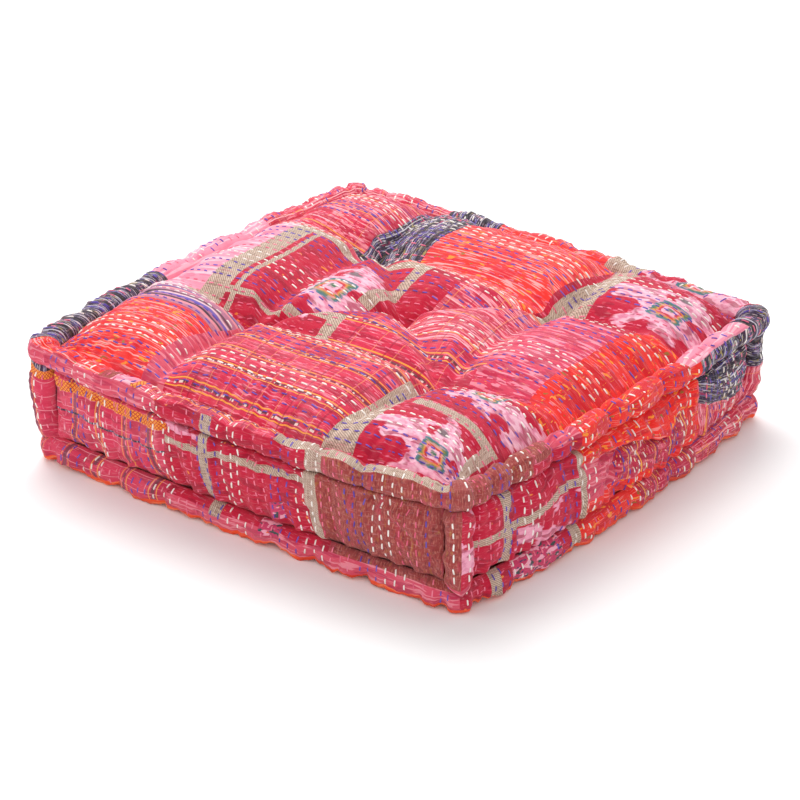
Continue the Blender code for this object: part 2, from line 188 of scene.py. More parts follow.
@dataclass
class EffectGroups:
    """Shader node groups for the effects that several cloths share, each built once."""

    made: dict[str, bpy.types.NodeTree] = field(default_factory=dict)

    def start(
        self, name: str, inputs: dict[str, str], outputs: dict[str, str]
    ) -> tuple[NodeBench, bpy.types.Node, bpy.types.Node]:
        """Starts a node group with named sockets.

        Args:
            name: The group's name.
            inputs: The kind of each input socket, by name.
            outputs: The kind of each output socket, by name.

        Returns:
            A bench for the group, and its input and output nodes.
        """
        tree = bpy.data.node_groups.new(name, "ShaderNodeTree")
        for label, kind in inputs.items():
            tree.interface.new_socket(label, in_out="INPUT", socket_type=f"NodeSocket{kind}")
        for label, kind in outputs.items():
            tree.interface.new_socket(label, in_out="OUTPUT", socket_type=f"NodeSocket{kind}")
        bench = NodeBench(tree)
        self.made[name] = tree
        return bench, bench.node("NodeGroupInput"), bench.node("NodeGroupOutput")

    def build(self) -> None:
        """Builds every group."""
        self.build_weave()
        self.build_streaks()
        self.build_lines()
        self.build_square()
        self.build_cloud()
        self.build_wear_and_weave_shade()

    def build_weave(self) -> None:
        """A plain weave: the height of its threads, and their shade."""
        bench, given, out = self.start(
            "plain_weave", {"Place": "Vector", "Pitch": "Float"}, {"Height": "Float", "Shade": "Float"}
        )
        x, y = bench.split(given.outputs["Place"])
        turn = bench.math("DIVIDE", math.pi, given.outputs["Pitch"])
        wave_x = bench.math("SINE", bench.math("MULTIPLY", x, turn))
        wave_y = bench.math("SINE", bench.math("MULTIPLY", y, turn))
        over = bench.math("GREATER_THAN", bench.math("MULTIPLY", wave_x, wave_y), 0.0)
        under = bench.math("SUBTRACT", 1.0, over)
        warp = bench.math("MULTIPLY", bench.math("ABSOLUTE", wave_x), over)
        weft = bench.math("MULTIPLY", bench.math("ABSOLUTE", wave_y), under)
        height = bench.math("MAXIMUM", warp, weft)
        uneven_place = bench.join(bench.math("MULTIPLY", x, 90.0), bench.math("MULTIPLY", y, 900.0))
        uneven = bench.noise(uneven_place, 1.0)
        height = bench.math("ADD", height, bench.math("MULTIPLY", uneven, 0.6))
        shade = bench.math("MULTIPLY_ADD", height, 0.5, 0.45)
        bench.link(height, out.inputs["Height"])
        bench.link(shade, out.inputs["Shade"])

    def build_streaks(self) -> None:
        """Short uneven streaks of dyed thread along the weft, as a mask."""
        names = ("Length", "Thickness", "Share", "Softness")
        bench, given, out = self.start(
            "dyed_streaks", {"Place": "Vector"} | {name: "Float" for name in names}, {"Mask": "Float"}
        )
        x, y = bench.split(given.outputs["Place"])
        along = bench.math("DIVIDE", x, given.outputs["Length"])
        across = bench.math("DIVIDE", y, given.outputs["Thickness"])
        value = bench.noise(bench.join(along, across), 1.0, 1.5)
        edge = bench.math("SUBTRACT", 0.72, bench.math("MULTIPLY", given.outputs["Share"], 0.5))
        high = bench.math("ADD", edge, given.outputs["Softness"])
        bench.link(bench.step(value, edge, high), out.inputs["Mask"])

    def build_lines(self) -> None:
        """Woven lines at an even pitch, whole or dashed, as a mask."""
        names = ("Across", "Along", "Pitch", "Width", "Shift", "Dash", "Share")
        bench, given, out = self.start("woven_lines", {name: "Float" for name in names}, {"Mask": "Float"})
        get = given.outputs
        waver = bench.noise(bench.join(bench.math("MULTIPLY", get["Along"], 40.0), get["Pitch"]), 1.0)
        waver = bench.math("MULTIPLY", bench.math("SUBTRACT", waver, 0.5), 0.0012)
        moved = bench.math("ADD", bench.math("ADD", get["Across"], get["Shift"]), waver)
        turns = bench.math("DIVIDE", moved, get["Pitch"])
        row = bench.math("FLOOR", turns)
        from_line = bench.math("ABSOLUTE", bench.math("SUBTRACT", bench.math("FRACT", turns), 0.5))
        distance = bench.math("MULTIPLY", from_line, get["Pitch"])
        half = bench.math("MULTIPLY", get["Width"], 0.5)
        soft = bench.math("MULTIPLY", get["Width"], 0.75)
        line = bench.math("SUBTRACT", 1.0, bench.step(distance, half, soft))
        dash_place = bench.join(bench.math("DIVIDE", get["Along"], get["Dash"]), bench.math("MULTIPLY", row, 7.3))
        dashes = bench.noise(dash_place, 1.0, 1.0)
        edge = bench.math("SUBTRACT", 0.75, bench.math("MULTIPLY", get["Share"], 0.55))
        shown = bench.step(dashes, edge, bench.math("ADD", edge, 0.05))
        bench.link(bench.math("MULTIPLY", line, shown), out.inputs["Mask"])

    def build_square(self) -> None:
        """An ikat square: nested rings whose edges are feathered along the weft, with a dark speck above."""
        bench, given, out = self.start("ikat_square", {"Place": "Vector"}, {"Color": "Color", "Mask": "Float"})
        x, y = bench.split(given.outputs["Place"])
        thread = bench.math("FLOOR", bench.math("DIVIDE", y, 0.0018))
        feather = bench.noise(bench.join(bench.math("MULTIPLY", thread, 3.1), 2.0), 1.0, 0.0)
        x = bench.math("ADD", x, bench.math("MULTIPLY", bench.math("SUBTRACT", feather, 0.5), 0.0070))
        ring_x = bench.math("DIVIDE", bench.math("ABSOLUTE", x), 0.0168)
        ring_y = bench.math("DIVIDE", bench.math("ABSOLUTE", y), 0.0142)
        ring = bench.math("MAXIMUM", ring_x, ring_y)
        ring = bench.math("ADD", ring, bench.math("MULTIPLY", bench.math("MINIMUM", ring_x, ring_y), 0.06))
        ragged = bench.noise(bench.join(x, y), 95.0)
        ring = bench.math("ADD", ring, bench.math("MULTIPLY", bench.math("SUBTRACT", ragged, 0.5), 0.34))
        ramp = bench.node("ShaderNodeValToRGB", {0: ring})
        ramp.color_ramp.interpolation = "LINEAR"
        bands = (
            (0.00, "3a6a4c"),
            (0.19, "4a7358"),
            (0.25, "e9aabf"),
            (0.40, "eeb6c8"),
            (0.45, "c22f44"),
            (0.56, "cf3a3a"),
            (0.61, "e0843f"),
            (0.68, "c98f4c"),
            (0.74, "86804a"),
            (0.82, "5b7558"),
            (0.88, "457478"),
            (1.00, "5a7f96"),
        )
        elements = ramp.color_ramp.elements
        while len(elements) < len(bands):
            elements.new(0.5)
        for element, (position, code) in zip(elements, bands):
            element.position = position
            element.color = linear(code)
        stroke_place = bench.join(bench.math("MULTIPLY", x, 0.42), bench.math("MULTIPLY", y, 1.9), 0.3)
        strokes = bench.step(bench.noise(stroke_place, 190.0, 1.0), 0.50, 0.58)
        colour = bench.blend(bench.math("MULTIPLY", strokes, 0.50), ramp.outputs[0], linear("e8a4ba"))
        inside = bench.math("SUBTRACT", 1.0, bench.step(ring, 0.97, 1.03))
        speck_x = bench.math("POWER", bench.math("DIVIDE", x, 1.7), 2.0)
        speck_y = bench.math("POWER", bench.math("SUBTRACT", y, 0.028), 2.0)
        from_speck = bench.math("SQRT", bench.math("ADD", speck_x, speck_y))
        speck = bench.math("SUBTRACT", 1.0, bench.step(from_speck, 0.0030, 0.0055))
        colour = bench.blend(speck, colour, linear("4f5a58"))
        bench.link(colour, out.inputs["Color"])
        bench.link(bench.math("MAXIMUM", inside, bench.math("MULTIPLY", speck, 0.8)), out.inputs["Mask"])

    def build_cloud(self) -> None:
        """The pale ikat cloud round a square, with stepped and feathered edges, as a mask."""
        names = ("Reach", "Raggedness")
        bench, given, out = self.start(
            "ikat_cloud", {"Place": "Vector"} | {name: "Float" for name in names}, {"Mask": "Float"}
        )
        x, y = bench.split(given.outputs["Place"])
        thread = bench.math("FLOOR", bench.math("DIVIDE", y, 0.0024))
        feather = bench.noise(bench.join(bench.math("MULTIPLY", thread, 2.3), 5.0), 1.0, 0.0)
        x = bench.math("ADD", x, bench.math("MULTIPLY", bench.math("SUBTRACT", feather, 0.5), 0.020))
        wide = bench.math("POWER", bench.math("DIVIDE", x, 1.4), 2.0)
        tall = bench.math("POWER", bench.math("SUBTRACT", y, 0.005), 2.0)
        away = bench.math("SQRT", bench.math("ADD", wide, tall))
        lobes = bench.noise(bench.join(bench.math("MULTIPLY", x, 0.62), y), 38.0, 1.0)
        lobes = bench.math("MULTIPLY", bench.math("SUBTRACT", lobes, 0.5), given.outputs["Raggedness"])
        nearness = bench.math("MULTIPLY", bench.math("SUBTRACT", given.outputs["Reach"], away), 16.0)
        value = bench.math("ADD", nearness, lobes)
        bench.link(bench.step(value, -0.03, 0.05), out.inputs["Mask"])

    def build_wear_and_weave_shade(self) -> None:
        """Washed and weathered cloth: uneven fading, stray pale fibres, a matt roughness, and painted shade where the
        woven threads lie low.
        """
        bench, given, out = self.start(
            "wear_and_weave_shade",
            {"Color": "Color", "Place": "Vector", "Shade": "Float", "Fading": "Float"},
            {"Color": "Color", "Roughness": "Float"},
        )
        place = given.outputs["Place"]
        patchy = bench.noise(place, 24.0, 3.0)
        x, y = bench.split(place)
        fibre_place = bench.join(bench.math("MULTIPLY", x, 120.0), bench.math("MULTIPLY", y, 700.0))
        fibres = bench.step(bench.noise(fibre_place, 1.0, 1.0), 0.55, 0.80)
        faded = bench.math("MULTIPLY", bench.step(patchy, 0.42, 0.75), given.outputs["Fading"])
        colour = bench.blend(faded, given.outputs["Color"], linear("f0a9b4"))
        colour = bench.blend(bench.math("MULTIPLY", fibres, 0.20), colour, linear("f5bcc2"))
        # Painted shade: the colour is darkened by the weave's shade, where the threads lie low.
        shade = bench.math("MULTIPLY_ADD", given.outputs["Shade"], 0.60, 0.55)
        colour = bench.blend(1.0, colour, bench.join(shade, shade, shade), "MULTIPLY")
        bench.link(colour, out.inputs["Color"])
        bench.link(bench.math("MULTIPLY_ADD", patchy, 0.25, 0.70), out.inputs["Roughness"])


@dataclass(frozen=True)
class Streaks:
    """Streaks of dyed thread: their colour, length, thickness and share of the cloth."""

    colour: str
    length: float
    thickness: float
    share: float
    strength: float = 0.9
    along_warp: bool = False
    softness: float = 0.04


@dataclass(frozen=True)
class WovenLines:
    """Lines woven into a cloth: their colour, pitch, width and dashes."""

    colour: str
    pitch: float
    width: float
    shift: float = 0.0
    dash: float = 0.03
    share: float = 1.4
    along_warp: bool = False
    strength: float = 0.95


@dataclass(frozen=True)
class ClothFinish:
    """One patched cloth: its ground, its dyed streaks and woven lines, and its weave."""

    fabric: Fabric
    ground: str
    streaks: tuple[Streaks, ...] = ()
    lines: tuple[WovenLines, ...] = ()
    cloud: str | None = None
    cloud_reach: float = 0.036
    square: bool = False
    twill: bool = False
    lattice: str | None = None
    lattice_pitch: float = 0.0036
    weave_pitch: float = 0.0008
    weave_depth: float = 0.00022
    fading: float = 0.12

    def build(self, groups: dict[str, bpy.types.NodeTree]) -> bpy.types.Material:
        """Makes the cloth's material.

        Args:
            groups: The shared node groups, by name.

        Returns:
            The material.
        """
        material = bpy.data.materials.new(self.fabric.value)
        material.use_nodes = True
        bench = NodeBench(material.node_tree)
        shader = material.node_tree.nodes["Principled BSDF"]
        place = bench.node("ShaderNodeUVMap", uv_map=CLOTH_MAP).outputs[0]
        x, y = bench.split(place)
        turned = bench.join(y, x)
        colour = linear(self.ground)
        if self.cloud:
            cloud = bench.use(groups["ikat_cloud"], {"Place": place, "Reach": self.cloud_reach, "Raggedness": 3.4})
            stretched = bench.join(bench.math("MULTIPLY", x, 0.4), y)
            mottle = bench.step(bench.noise(stretched, 260.0), 0.42, 0.62)
            tint = bench.blend(mottle, linear(self.cloud), linear("dd86a3"))
            colour = bench.blend(cloud.outputs["Mask"], colour, tint)
        for streak in self.streaks:
            inputs = {
                "Place": turned if streak.along_warp else place,
                "Length": streak.length,
                "Thickness": streak.thickness,
                "Share": streak.share,
                "Softness": streak.softness,
            }
            mask = bench.use(groups["dyed_streaks"], inputs).outputs["Mask"]
            colour = bench.blend(bench.math("MULTIPLY", mask, streak.strength), colour, linear(streak.colour))
        for lines in self.lines:
            inputs = {
                "Across": x if lines.along_warp else y,
                "Along": y if lines.along_warp else x,
                "Pitch": lines.pitch,
                "Width": lines.width,
                "Shift": lines.shift,
                "Dash": lines.dash,
                "Share": lines.share,
            }
            mask = bench.use(groups["woven_lines"], inputs).outputs["Mask"]
            colour = bench.blend(bench.math("MULTIPLY", mask, lines.strength), colour, linear(lines.colour))
        if self.lattice:
            for sign in (1.0, -1.0):
                across = bench.math("MULTIPLY_ADD", y, sign, x)
                inputs = {"Across": across, "Along": x, "Pitch": self.lattice_pitch, "Share": 1.4, "Dash": 1.0}
                inputs["Width"] = self.lattice_pitch / 4
                mask = bench.use(groups["woven_lines"], inputs).outputs["Mask"]
                colour = bench.blend(mask, colour, linear(self.lattice))
        if self.square:
            square = bench.use(groups["ikat_square"], {"Place": place})
            colour = bench.blend(square.outputs["Mask"], colour, square.outputs["Color"])
        if self.twill:
            slope = bench.math("ADD", bench.math("MULTIPLY", x, 2300.0), bench.math("MULTIPLY", y, 2900.0))
            rib = bench.step(bench.math("SINE", slope), -0.2, 0.7)
            colour = bench.blend(bench.math("MULTIPLY", rib, 0.64), colour, linear("765c52"))
        weave = bench.use(groups["plain_weave"], {"Place": place, "Pitch": self.weave_pitch})
        # The weave's painted shade darkens the colour between the threads, along with the fading and pale fibres of
        # wear.
        worn_and_shaded = bench.use(
            groups["wear_and_weave_shade"],
            {"Color": colour, "Place": place, "Shade": weave.outputs["Shade"], "Fading": self.fading},
        )
        bump = bench.node("ShaderNodeBump", {"Height": weave.outputs["Height"], "Distance": self.weave_depth})
        bump.inputs["Strength"].default_value = 0.7
        bench.link(worn_and_shaded.outputs["Color"], shader.inputs["Base Color"])
        bench.link(worn_and_shaded.outputs["Roughness"], shader.inputs["Roughness"])
        bench.link(bump.outputs[0], shader.inputs["Normal"])
        shader.inputs["Specular IOR Level"].default_value = 0.25
        shader.inputs["Sheen Weight"].default_value = 0.12
        shader.inputs["Sheen Roughness"].default_value = 0.5
        return material


CLOTHS = (
    ClothFinish(
        Fabric.CRIMSON_STRIPE,
        "d22c4a",
        streaks=(
            Streaks("f0929e", 0.026, 0.0022, 0.42),
            Streaks("b8163c", 0.045, 0.0050, 0.46, 0.75),
            Streaks("f0925a", 0.016, 0.0012, 0.10),
            Streaks("f8c2cc", 0.012, 0.0010, 0.20, 0.8),
        ),
        lines=(
            WovenLines("f0a04b", 0.031, 0.0009, 0.004, 0.05, 0.9),
            WovenLines("6f4c94", 0.043, 0.0012, 0.011, 0.010, 0.6, strength=0.8),
            WovenLines("f3b3bf", 0.017, 0.0008, 0.0, 0.02, 0.7),
            WovenLines("f0924b", 0.036, 0.0006, 0.003, 0.08, 0.8, True, 0.6),
            WovenLines("9a1236", 0.029, 0.0010, 0.013, 0.08, 1.2, True, 0.5),
        ),
    ),
    ClothFinish(
        Fabric.CRIMSON_PLAID,
        "d2284a",
        streaks=(
            Streaks("e97e92", 0.022, 0.0020, 0.30),
            Streaks("ab1538", 0.040, 0.0060, 0.44, 0.75),
            Streaks("f5a9bb", 0.010, 0.0010, 0.12, 0.8),
        ),
        lines=(
            WovenLines("f7a53c", 0.0290, 0.0009, 0.0, 0.10, 1.2),
            WovenLines("f7a53c", 0.0290, 0.0008, 0.0065, 0.10, 1.1),
            WovenLines("4a3038", 0.0290, 0.0019, 0.0030, 0.0050, 0.66, strength=0.85),
            WovenLines("f3dcd0", 0.0290, 0.0015, 0.0036, 0.0040, 0.42, strength=0.85),
            WovenLines("e58a5f", 0.0190, 0.0006, 0.003, 0.08, 0.9, True, 0.65),
            WovenLines("9a1236", 0.0330, 0.0012, 0.013, 0.08, 1.2, True, 0.6),
        ),
    ),
    ClothFinish(
        Fabric.DEEP_CRIMSON,
        "bf1236",
        streaks=(
            Streaks("e4708e", 0.012, 0.0024, 0.17, 0.8),
            Streaks("960c2c", 0.030, 0.0100, 0.36, 0.6),
            Streaks("f08a34", 0.012, 0.0060, 0.05, 0.9),
        ),
        fading=0.04,
    ),
    ClothFinish(
        Fabric.PINK_IKAT,
        "c01438",
        streaks=(
            Streaks("de6a8c", 0.009, 0.0026, 0.10, 0.8),
            Streaks("9a0f30", 0.020, 0.0070, 0.34, 0.6),
        ),
        cloud="f3bccd",
        square=True,
        fading=0.04,
    ),
    ClothFinish(
        Fabric.IKAT_CLOUD,
        "c01438",
        streaks=(
            Streaks("de6a8c", 0.009, 0.0030, 0.14, 0.8),
            Streaks("9a0f30", 0.020, 0.0070, 0.34, 0.6),
            Streaks("5a4a52", 0.006, 0.0040, 0.05, 0.8),
        ),
        cloud="eda3bb",
        cloud_reach=0.016,
        fading=0.04,
    ),
    ClothFinish(
        Fabric.PINK_CRIMSON,
        "d53a5a",
        streaks=(
            Streaks("ee93a6", 0.028, 0.0030, 0.40),
            Streaks("b81842", 0.030, 0.0050, 0.42, 0.75),
            Streaks("7657a8", 0.012, 0.0018, 0.10, 0.7),
            Streaks("f0a050", 0.010, 0.0012, 0.08, 0.8),
        ),
    ),
    ClothFinish(
        Fabric.VERMILION,
        "ef2f28",
        streaks=(
            Streaks("f8a5a4", 0.024, 0.0016, 0.34),
            Streaks("cf1a30", 0.040, 0.0080, 0.40, 0.75),
            Streaks("f79330", 0.012, 0.0045, 0.16, 0.95),
            Streaks("86712f", 0.009, 0.0048, 0.11, 0.85),
        ),
        lines=(WovenLines("f6a3a4", 0.024, 0.0009, 0.006, 0.03, 0.7),),
        fading=0.06,
    ),
    ClothFinish(
        Fabric.KHAKI,
        "c9b09c",
        streaks=(
            Streaks("8f6a5a", 0.020, 0.0012, 0.36, 0.7),
            Streaks("decab8", 0.020, 0.0012, 0.40, 0.7, True),
            Streaks("c76a78", 0.030, 0.0030, 0.12, 0.5),
        ),
        twill=True,
        fading=0.10,
        weave_pitch=0.0011,
        weave_depth=0.0004,
    ),
    ClothFinish(
        Fabric.DARK_PLAID,
        "3a2c40",
        streaks=(
            Streaks("8d86b0", 0.020, 0.0012, 0.30, 0.75, True),
            Streaks("5c4f9c", 0.030, 0.0026, 0.24, 0.85, True),
            Streaks("b0305c", 0.020, 0.0060, 0.12, 0.7, True),
            Streaks("e6dcdc", 0.010, 0.0008, 0.25, 0.9, True),
            Streaks("a3924e", 0.012, 0.0034, 0.19, 0.85, True),
            Streaks("df7f98", 0.016, 0.0020, 0.16, 0.7),
        ),
        lines=(
            WovenLines("d9d2dc", 0.013, 0.0007, 0.0, 0.02, 0.7, True, 0.85),
            WovenLines("17131c", 0.021, 0.0040, 0.004, 0.03, 0.9, True, 0.8),
        ),
        fading=0.03,
    ),
    ClothFinish(
        Fabric.LIGHT_PINK,
        "ee8fa6",
        streaks=(
            Streaks("f8bfcb", 0.040, 0.0040, 0.36),
            Streaks("da6484", 0.030, 0.0060, 0.26, 0.6),
        ),
    ),
    ClothFinish(
        Fabric.ROSE,
        "d54a62",
        streaks=(
            Streaks("e88b99", 0.026, 0.0030, 0.36, 0.8),
            Streaks("b3244a", 0.030, 0.0070, 0.36, 0.7),
        ),
    ),
    ClothFinish(
        Fabric.BROWN,
        "9a3d3a",
        streaks=(
            Streaks("c4796a", 0.0050, 0.0016, 0.44, 0.60, True, 0.16),
            Streaks("ab7428", 0.0110, 0.0050, 0.26, 0.55, True, 0.14),
            Streaks("b23c4c", 0.0100, 0.0300, 0.30, 0.7),
            Streaks("6c2428", 0.0060, 0.0024, 0.36, 0.60, True, 0.12),
        ),
        fading=0.06,
        weave_pitch=0.0011,
        weave_depth=0.0003,
    ),
    ClothFinish(
        Fabric.VIOLET_STRIPE,
        "b0708c",
        lines=(
            WovenLines("2f2232", 0.0105, 0.0020, 0.0, 0.2, 1.4),
            WovenLines("e3c6cc", 0.0105, 0.0012, 0.003, 0.1, 1.2),
            WovenLines("5f55b0", 0.0170, 0.0018, 0.005, 0.04, 0.9),
            WovenLines("e28a94", 0.0210, 0.0022, 0.008, 0.05, 1.0),
        ),
    ),
    ClothFinish(
        Fabric.DIAMOND,
        "f0a03a",
        lattice="c8452f",
        fading=0.03,
    ),
    ClothFinish(
        Fabric.FLECKED,
        "c02a48",
        streaks=(
            Streaks("df6a80", 0.020, 0.0040, 0.30, 0.7),
            Streaks("9a1638", 0.030, 0.0090, 0.36, 0.6),
            Streaks("f0b040", 0.006, 0.0018, 0.15, 0.95, True),
            Streaks("f5e8e0", 0.006, 0.0016, 0.14, 0.95, True),
        ),
        lines=(
            WovenLines("f0ab48", 0.026, 0.0009, 0.0, 0.1, 1.3, True),
            WovenLines("5b3a68", 0.031, 0.0012, 0.005, 0.05, 1.0, True, 0.7),
        ),
        fading=0.06,
    ),
    ClothFinish(
        Fabric.MULTICOLOUR,
        "c73a64",
        streaks=(
            Streaks("274c4c", 0.009, 0.0050, 0.30, 0.95),
            Streaks("f0adc0", 0.010, 0.0046, 0.34, 0.9),
            Streaks("34305c", 0.008, 0.0046, 0.20, 0.9),
            Streaks("e2702a", 0.006, 0.0036, 0.13, 0.9),
        ),
        fading=0.03,
    ),
    ClothFinish(
        Fabric.FLAMED,
        "d23656",
        streaks=(
            Streaks("ad2040", 0.045, 0.0120, 0.40, 0.6),
            Streaks("f2b4c0", 0.018, 0.0034, 0.16, 0.8, True, 0.10),
            Streaks("ea8398", 0.020, 0.0016, 0.16, 0.7),
        ),
        lines=(
            WovenLines("ec9fae", 0.0150, 0.0006, 0.0, 0.05, 0.9, strength=0.7),
            WovenLines("efa044", 0.0360, 0.0008, 0.004, 0.05, 1.1, True, 0.85),
            WovenLines("5a3a48", 0.0360, 0.0030, 0.008, 0.012, 0.75, True, 0.75),
            WovenLines("efa044", 0.0360, 0.0008, 0.012, 0.05, 1.1, True, 0.85),
        ),
    ),
    ClothFinish(
        Fabric.ORANGE_RED,
        "ee4c1c",
        streaks=(
            Streaks("f5804c", 0.040, 0.0050, 0.36, 0.7),
            Streaks("cf3018", 0.040, 0.0080, 0.34, 0.7),
        ),
        fading=0.04,
    ),
    ClothFinish(
        Fabric.SCARLET,
        "ea2b23",
        streaks=(
            Streaks("f28f8a", 0.022, 0.0013, 0.20, 0.85),
            Streaks("c81a2c", 0.040, 0.0080, 0.42, 0.75),
            Streaks("f79330", 0.012, 0.0045, 0.17, 0.95),
            Streaks("f2b03c", 0.006, 0.0014, 0.10, 0.9, True),
            Streaks("86712f", 0.009, 0.0048, 0.10, 0.85),
        ),
        fading=0.05,
    ),
)


@dataclass(frozen=True)
class ThreadFinish:
    """The cotton thread of the running stitches."""

    shade: ThreadColour
    colour: str
    dark: str
    twist_pitch: float = 0.0009

    def build(self) -> bpy.types.Material:
        """Makes the thread's material, with a slight change of tone from stitch to stitch."""
        material = bpy.data.materials.new(f"{self.shade.value}_thread")
        material.use_nodes = True
        bench = NodeBench(material.node_tree)
        shader = material.node_tree.nodes["Principled BSDF"]
        place = bench.node("ShaderNodeTexCoord").outputs["Object"]
        tone = bench.step(bench.noise(place, 70.0, 1.0), 0.35, 0.65)
        colour = bench.blend(tone, linear(self.dark), linear(self.colour))
        twist = bench.noise(place, 1.0 / self.twist_pitch, 1.0)
        bump = bench.node("ShaderNodeBump", {"Height": twist, "Distance": 0.0002})
        bench.link(colour, shader.inputs["Base Color"])
        bench.link(bump.outputs[0], shader.inputs["Normal"])
        bench.link(bench.math("MULTIPLY_ADD", tone, 0.1, 0.7), shader.inputs["Roughness"])
        shader.inputs["Specular IOR Level"].default_value = 0.3
        return material


THREADS = (
    ThreadFinish(ThreadColour.WHITE, "fbf5ef", "efe2da"),
    ThreadFinish(ThreadColour.PINK, "f58aa2", "e2607f"),
    ThreadFinish(ThreadColour.VIOLET, "7460c4", "5c46a6"),
)


@dataclass
class Wardrobe:
    """Every cloth and thread material, by its name."""

    cloths: dict[Fabric, bpy.types.Material] = field(default_factory=dict)
    threads: dict[ThreadColour, bpy.types.Material] = field(default_factory=dict)

    def build(self) -> None:
        """Builds the shared groups, then the cloths and the threads."""
        effects = EffectGroups()
        effects.build()
        for finish in CLOTHS:
            self.cloths[finish.fabric] = finish.build(effects.made)
        for finish in THREADS:
            self.threads[finish.shade] = finish.build()


# The patches. Top: plan position. Walls: run along the wall, and height. Rolls: run round the cushion, and
# how far up round the roll from its outer seam. All in millimetres.


@dataclass(frozen=True)
class Patch:
    """A patch: its cloth, its bounds, and where the middle of its pattern is."""

    fabric: Fabric
    start_u: float
    end_u: float
    start_v: float
    end_v: float
    middle_u: float = 0.0
    middle_v: float = 0.0
    turned: bool = False


F = Fabric
TOP_PATCHES = (
    Patch(F.CRIMSON_PLAID, -300, 300, -300, 300),
    Patch(F.CRIMSON_STRIPE, -300, -113, 74, 300),
    Patch(F.DARK_PLAID, -113, -50, 80, 300),
    Patch(F.VERMILION, -50, 79, 74, 300),
    Patch(F.DEEP_CRIMSON, 79, 86, 70, 300),
    Patch(F.KHAKI, 86, 124, 70, 300),
    Patch(F.PINK_IKAT, 124, 300, 64, 300, 188, 135),
    Patch(F.LIGHT_PINK, -300, -176, -92, 74),
    Patch(F.KHAKI, -176, -148, -92, 74),
    Patch(F.DEEP_CRIMSON, -148, -83, -92, 64),
    Patch(F.KHAKI, -142, -136, -92, 64),
    Patch(F.KHAKI, -148, -83, -64, -57),
    Patch(F.KHAKI, -148, -83, 64, 74),
    Patch(F.VIOLET_STRIPE, -300, -98, -130, -92),
    Patch(F.DEEP_CRIMSON, -98, -83, -130, -92),
    Patch(F.VERMILION, -300, -110, -300, -130),
    Patch(F.ROSE, -110, -88, -300, -95),
    Patch(F.PINK_IKAT, -83, -20, -122, 74, -60, -8),
    Patch(F.KHAKI, -83, -20, 66, 76),
    Patch(F.KHAKI, -83, -20, -56, -47),
    Patch(F.KHAKI, -34, -22, -5, 66),
    Patch(F.KHAKI, -24, -13, -95, -47),
    Patch(F.DEEP_CRIMSON, -22, 10, -45, 76),
    Patch(F.CRIMSON_STRIPE, 10, 119, -28, 76),
    Patch(F.CRIMSON_PLAID, -13, 119, -95, -28),
    Patch(F.CRIMSON_PLAID, -88, 80, -300, -95),
    Patch(F.PINK_CRIMSON, 119, 191, -84, 70),
    Patch(F.SCARLET, 191, 300, -84, 100),
    Patch(F.PINK_IKAT, 119, 300, -143, -84, 171, -94),
    Patch(F.KHAKI, 80, 108, -300, -98),
    Patch(F.PINK_IKAT, 108, 300, -300, -143, 178, -206),
    Patch(F.KHAKI, 119, 228, -154, -143),
    Patch(F.KHAKI, 218, 227, -216, -143),
)
FRONT_PATCHES = (
    Patch(F.FLAMED, -300, -81, 0, 200),
    Patch(F.DIAMOND, -300, -81, 82, 92),
    Patch(F.DARK_PLAID, -300, -81, 61, 62),
    Patch(F.DEEP_CRIMSON, -81, 104, 0, 200),
    Patch(F.IKAT_CLOUD, -81, -36, 88, 200, -60, 97),
    Patch(F.KHAKI, -81, 104, 72, 80),
    Patch(F.MULTICOLOUR, 46, 60, 31, 44),
    Patch(F.KHAKI, -35, -23, 0, 200),
    Patch(F.KHAKI, 91, 104, 0, 200),
    Patch(F.BROWN, 104, 300, 0, 200),
)
RIGHT_PATCHES = (
    Patch(F.DEEP_CRIMSON, -300, -80, 0, 200),
    Patch(F.IKAT_CLOUD, -300, -80, 0, 54, -134, 34),
    Patch(F.KHAKI, -300, -80, 56, 64),
    Patch(F.KHAKI, -203, -192, 0, 200),
    Patch(F.KHAKI, -91, -80, 0, 200),
    Patch(F.SCARLET, -80, 121, 0, 200),
    Patch(F.FLECKED, -80, 97, 37, 74),
    Patch(F.ROSE, -80, -29, 37, 74),
    Patch(F.DARK_PLAID, 121, 300, 62, 200, turned=True),
    Patch(F.CRIMSON_STRIPE, 121, 300, 0, 62, turned=True),
)
BACK_PATCHES = (
    Patch(F.PINK_IKAT, -300, -120, 0, 200, -176, 60),
    Patch(F.KHAKI, -120, -104, 0, 200),
    Patch(F.VERMILION, -104, 20, 0, 200),
    Patch(F.DIAMOND, -104, 20, 82, 91),
    Patch(F.DARK_PLAID, 20, 88, 0, 200),
    Patch(F.CRIMSON_PLAID, 88, 300, 0, 200),
)
LEFT_PATCHES = (
    Patch(F.CRIMSON_STRIPE, -300, -96, 0, 200),
    Patch(F.KHAKI, -96, -80, 0, 200),
    Patch(F.LIGHT_PINK, -80, 40, 52, 200),
    Patch(F.DEEP_CRIMSON, -80, 40, 0, 52),
    Patch(F.BROWN, 40, 120, 0, 200),
    Patch(F.DARK_PLAID, 120, 300, 40, 200),
    Patch(F.ROSE, 120, 300, 0, 40),
)
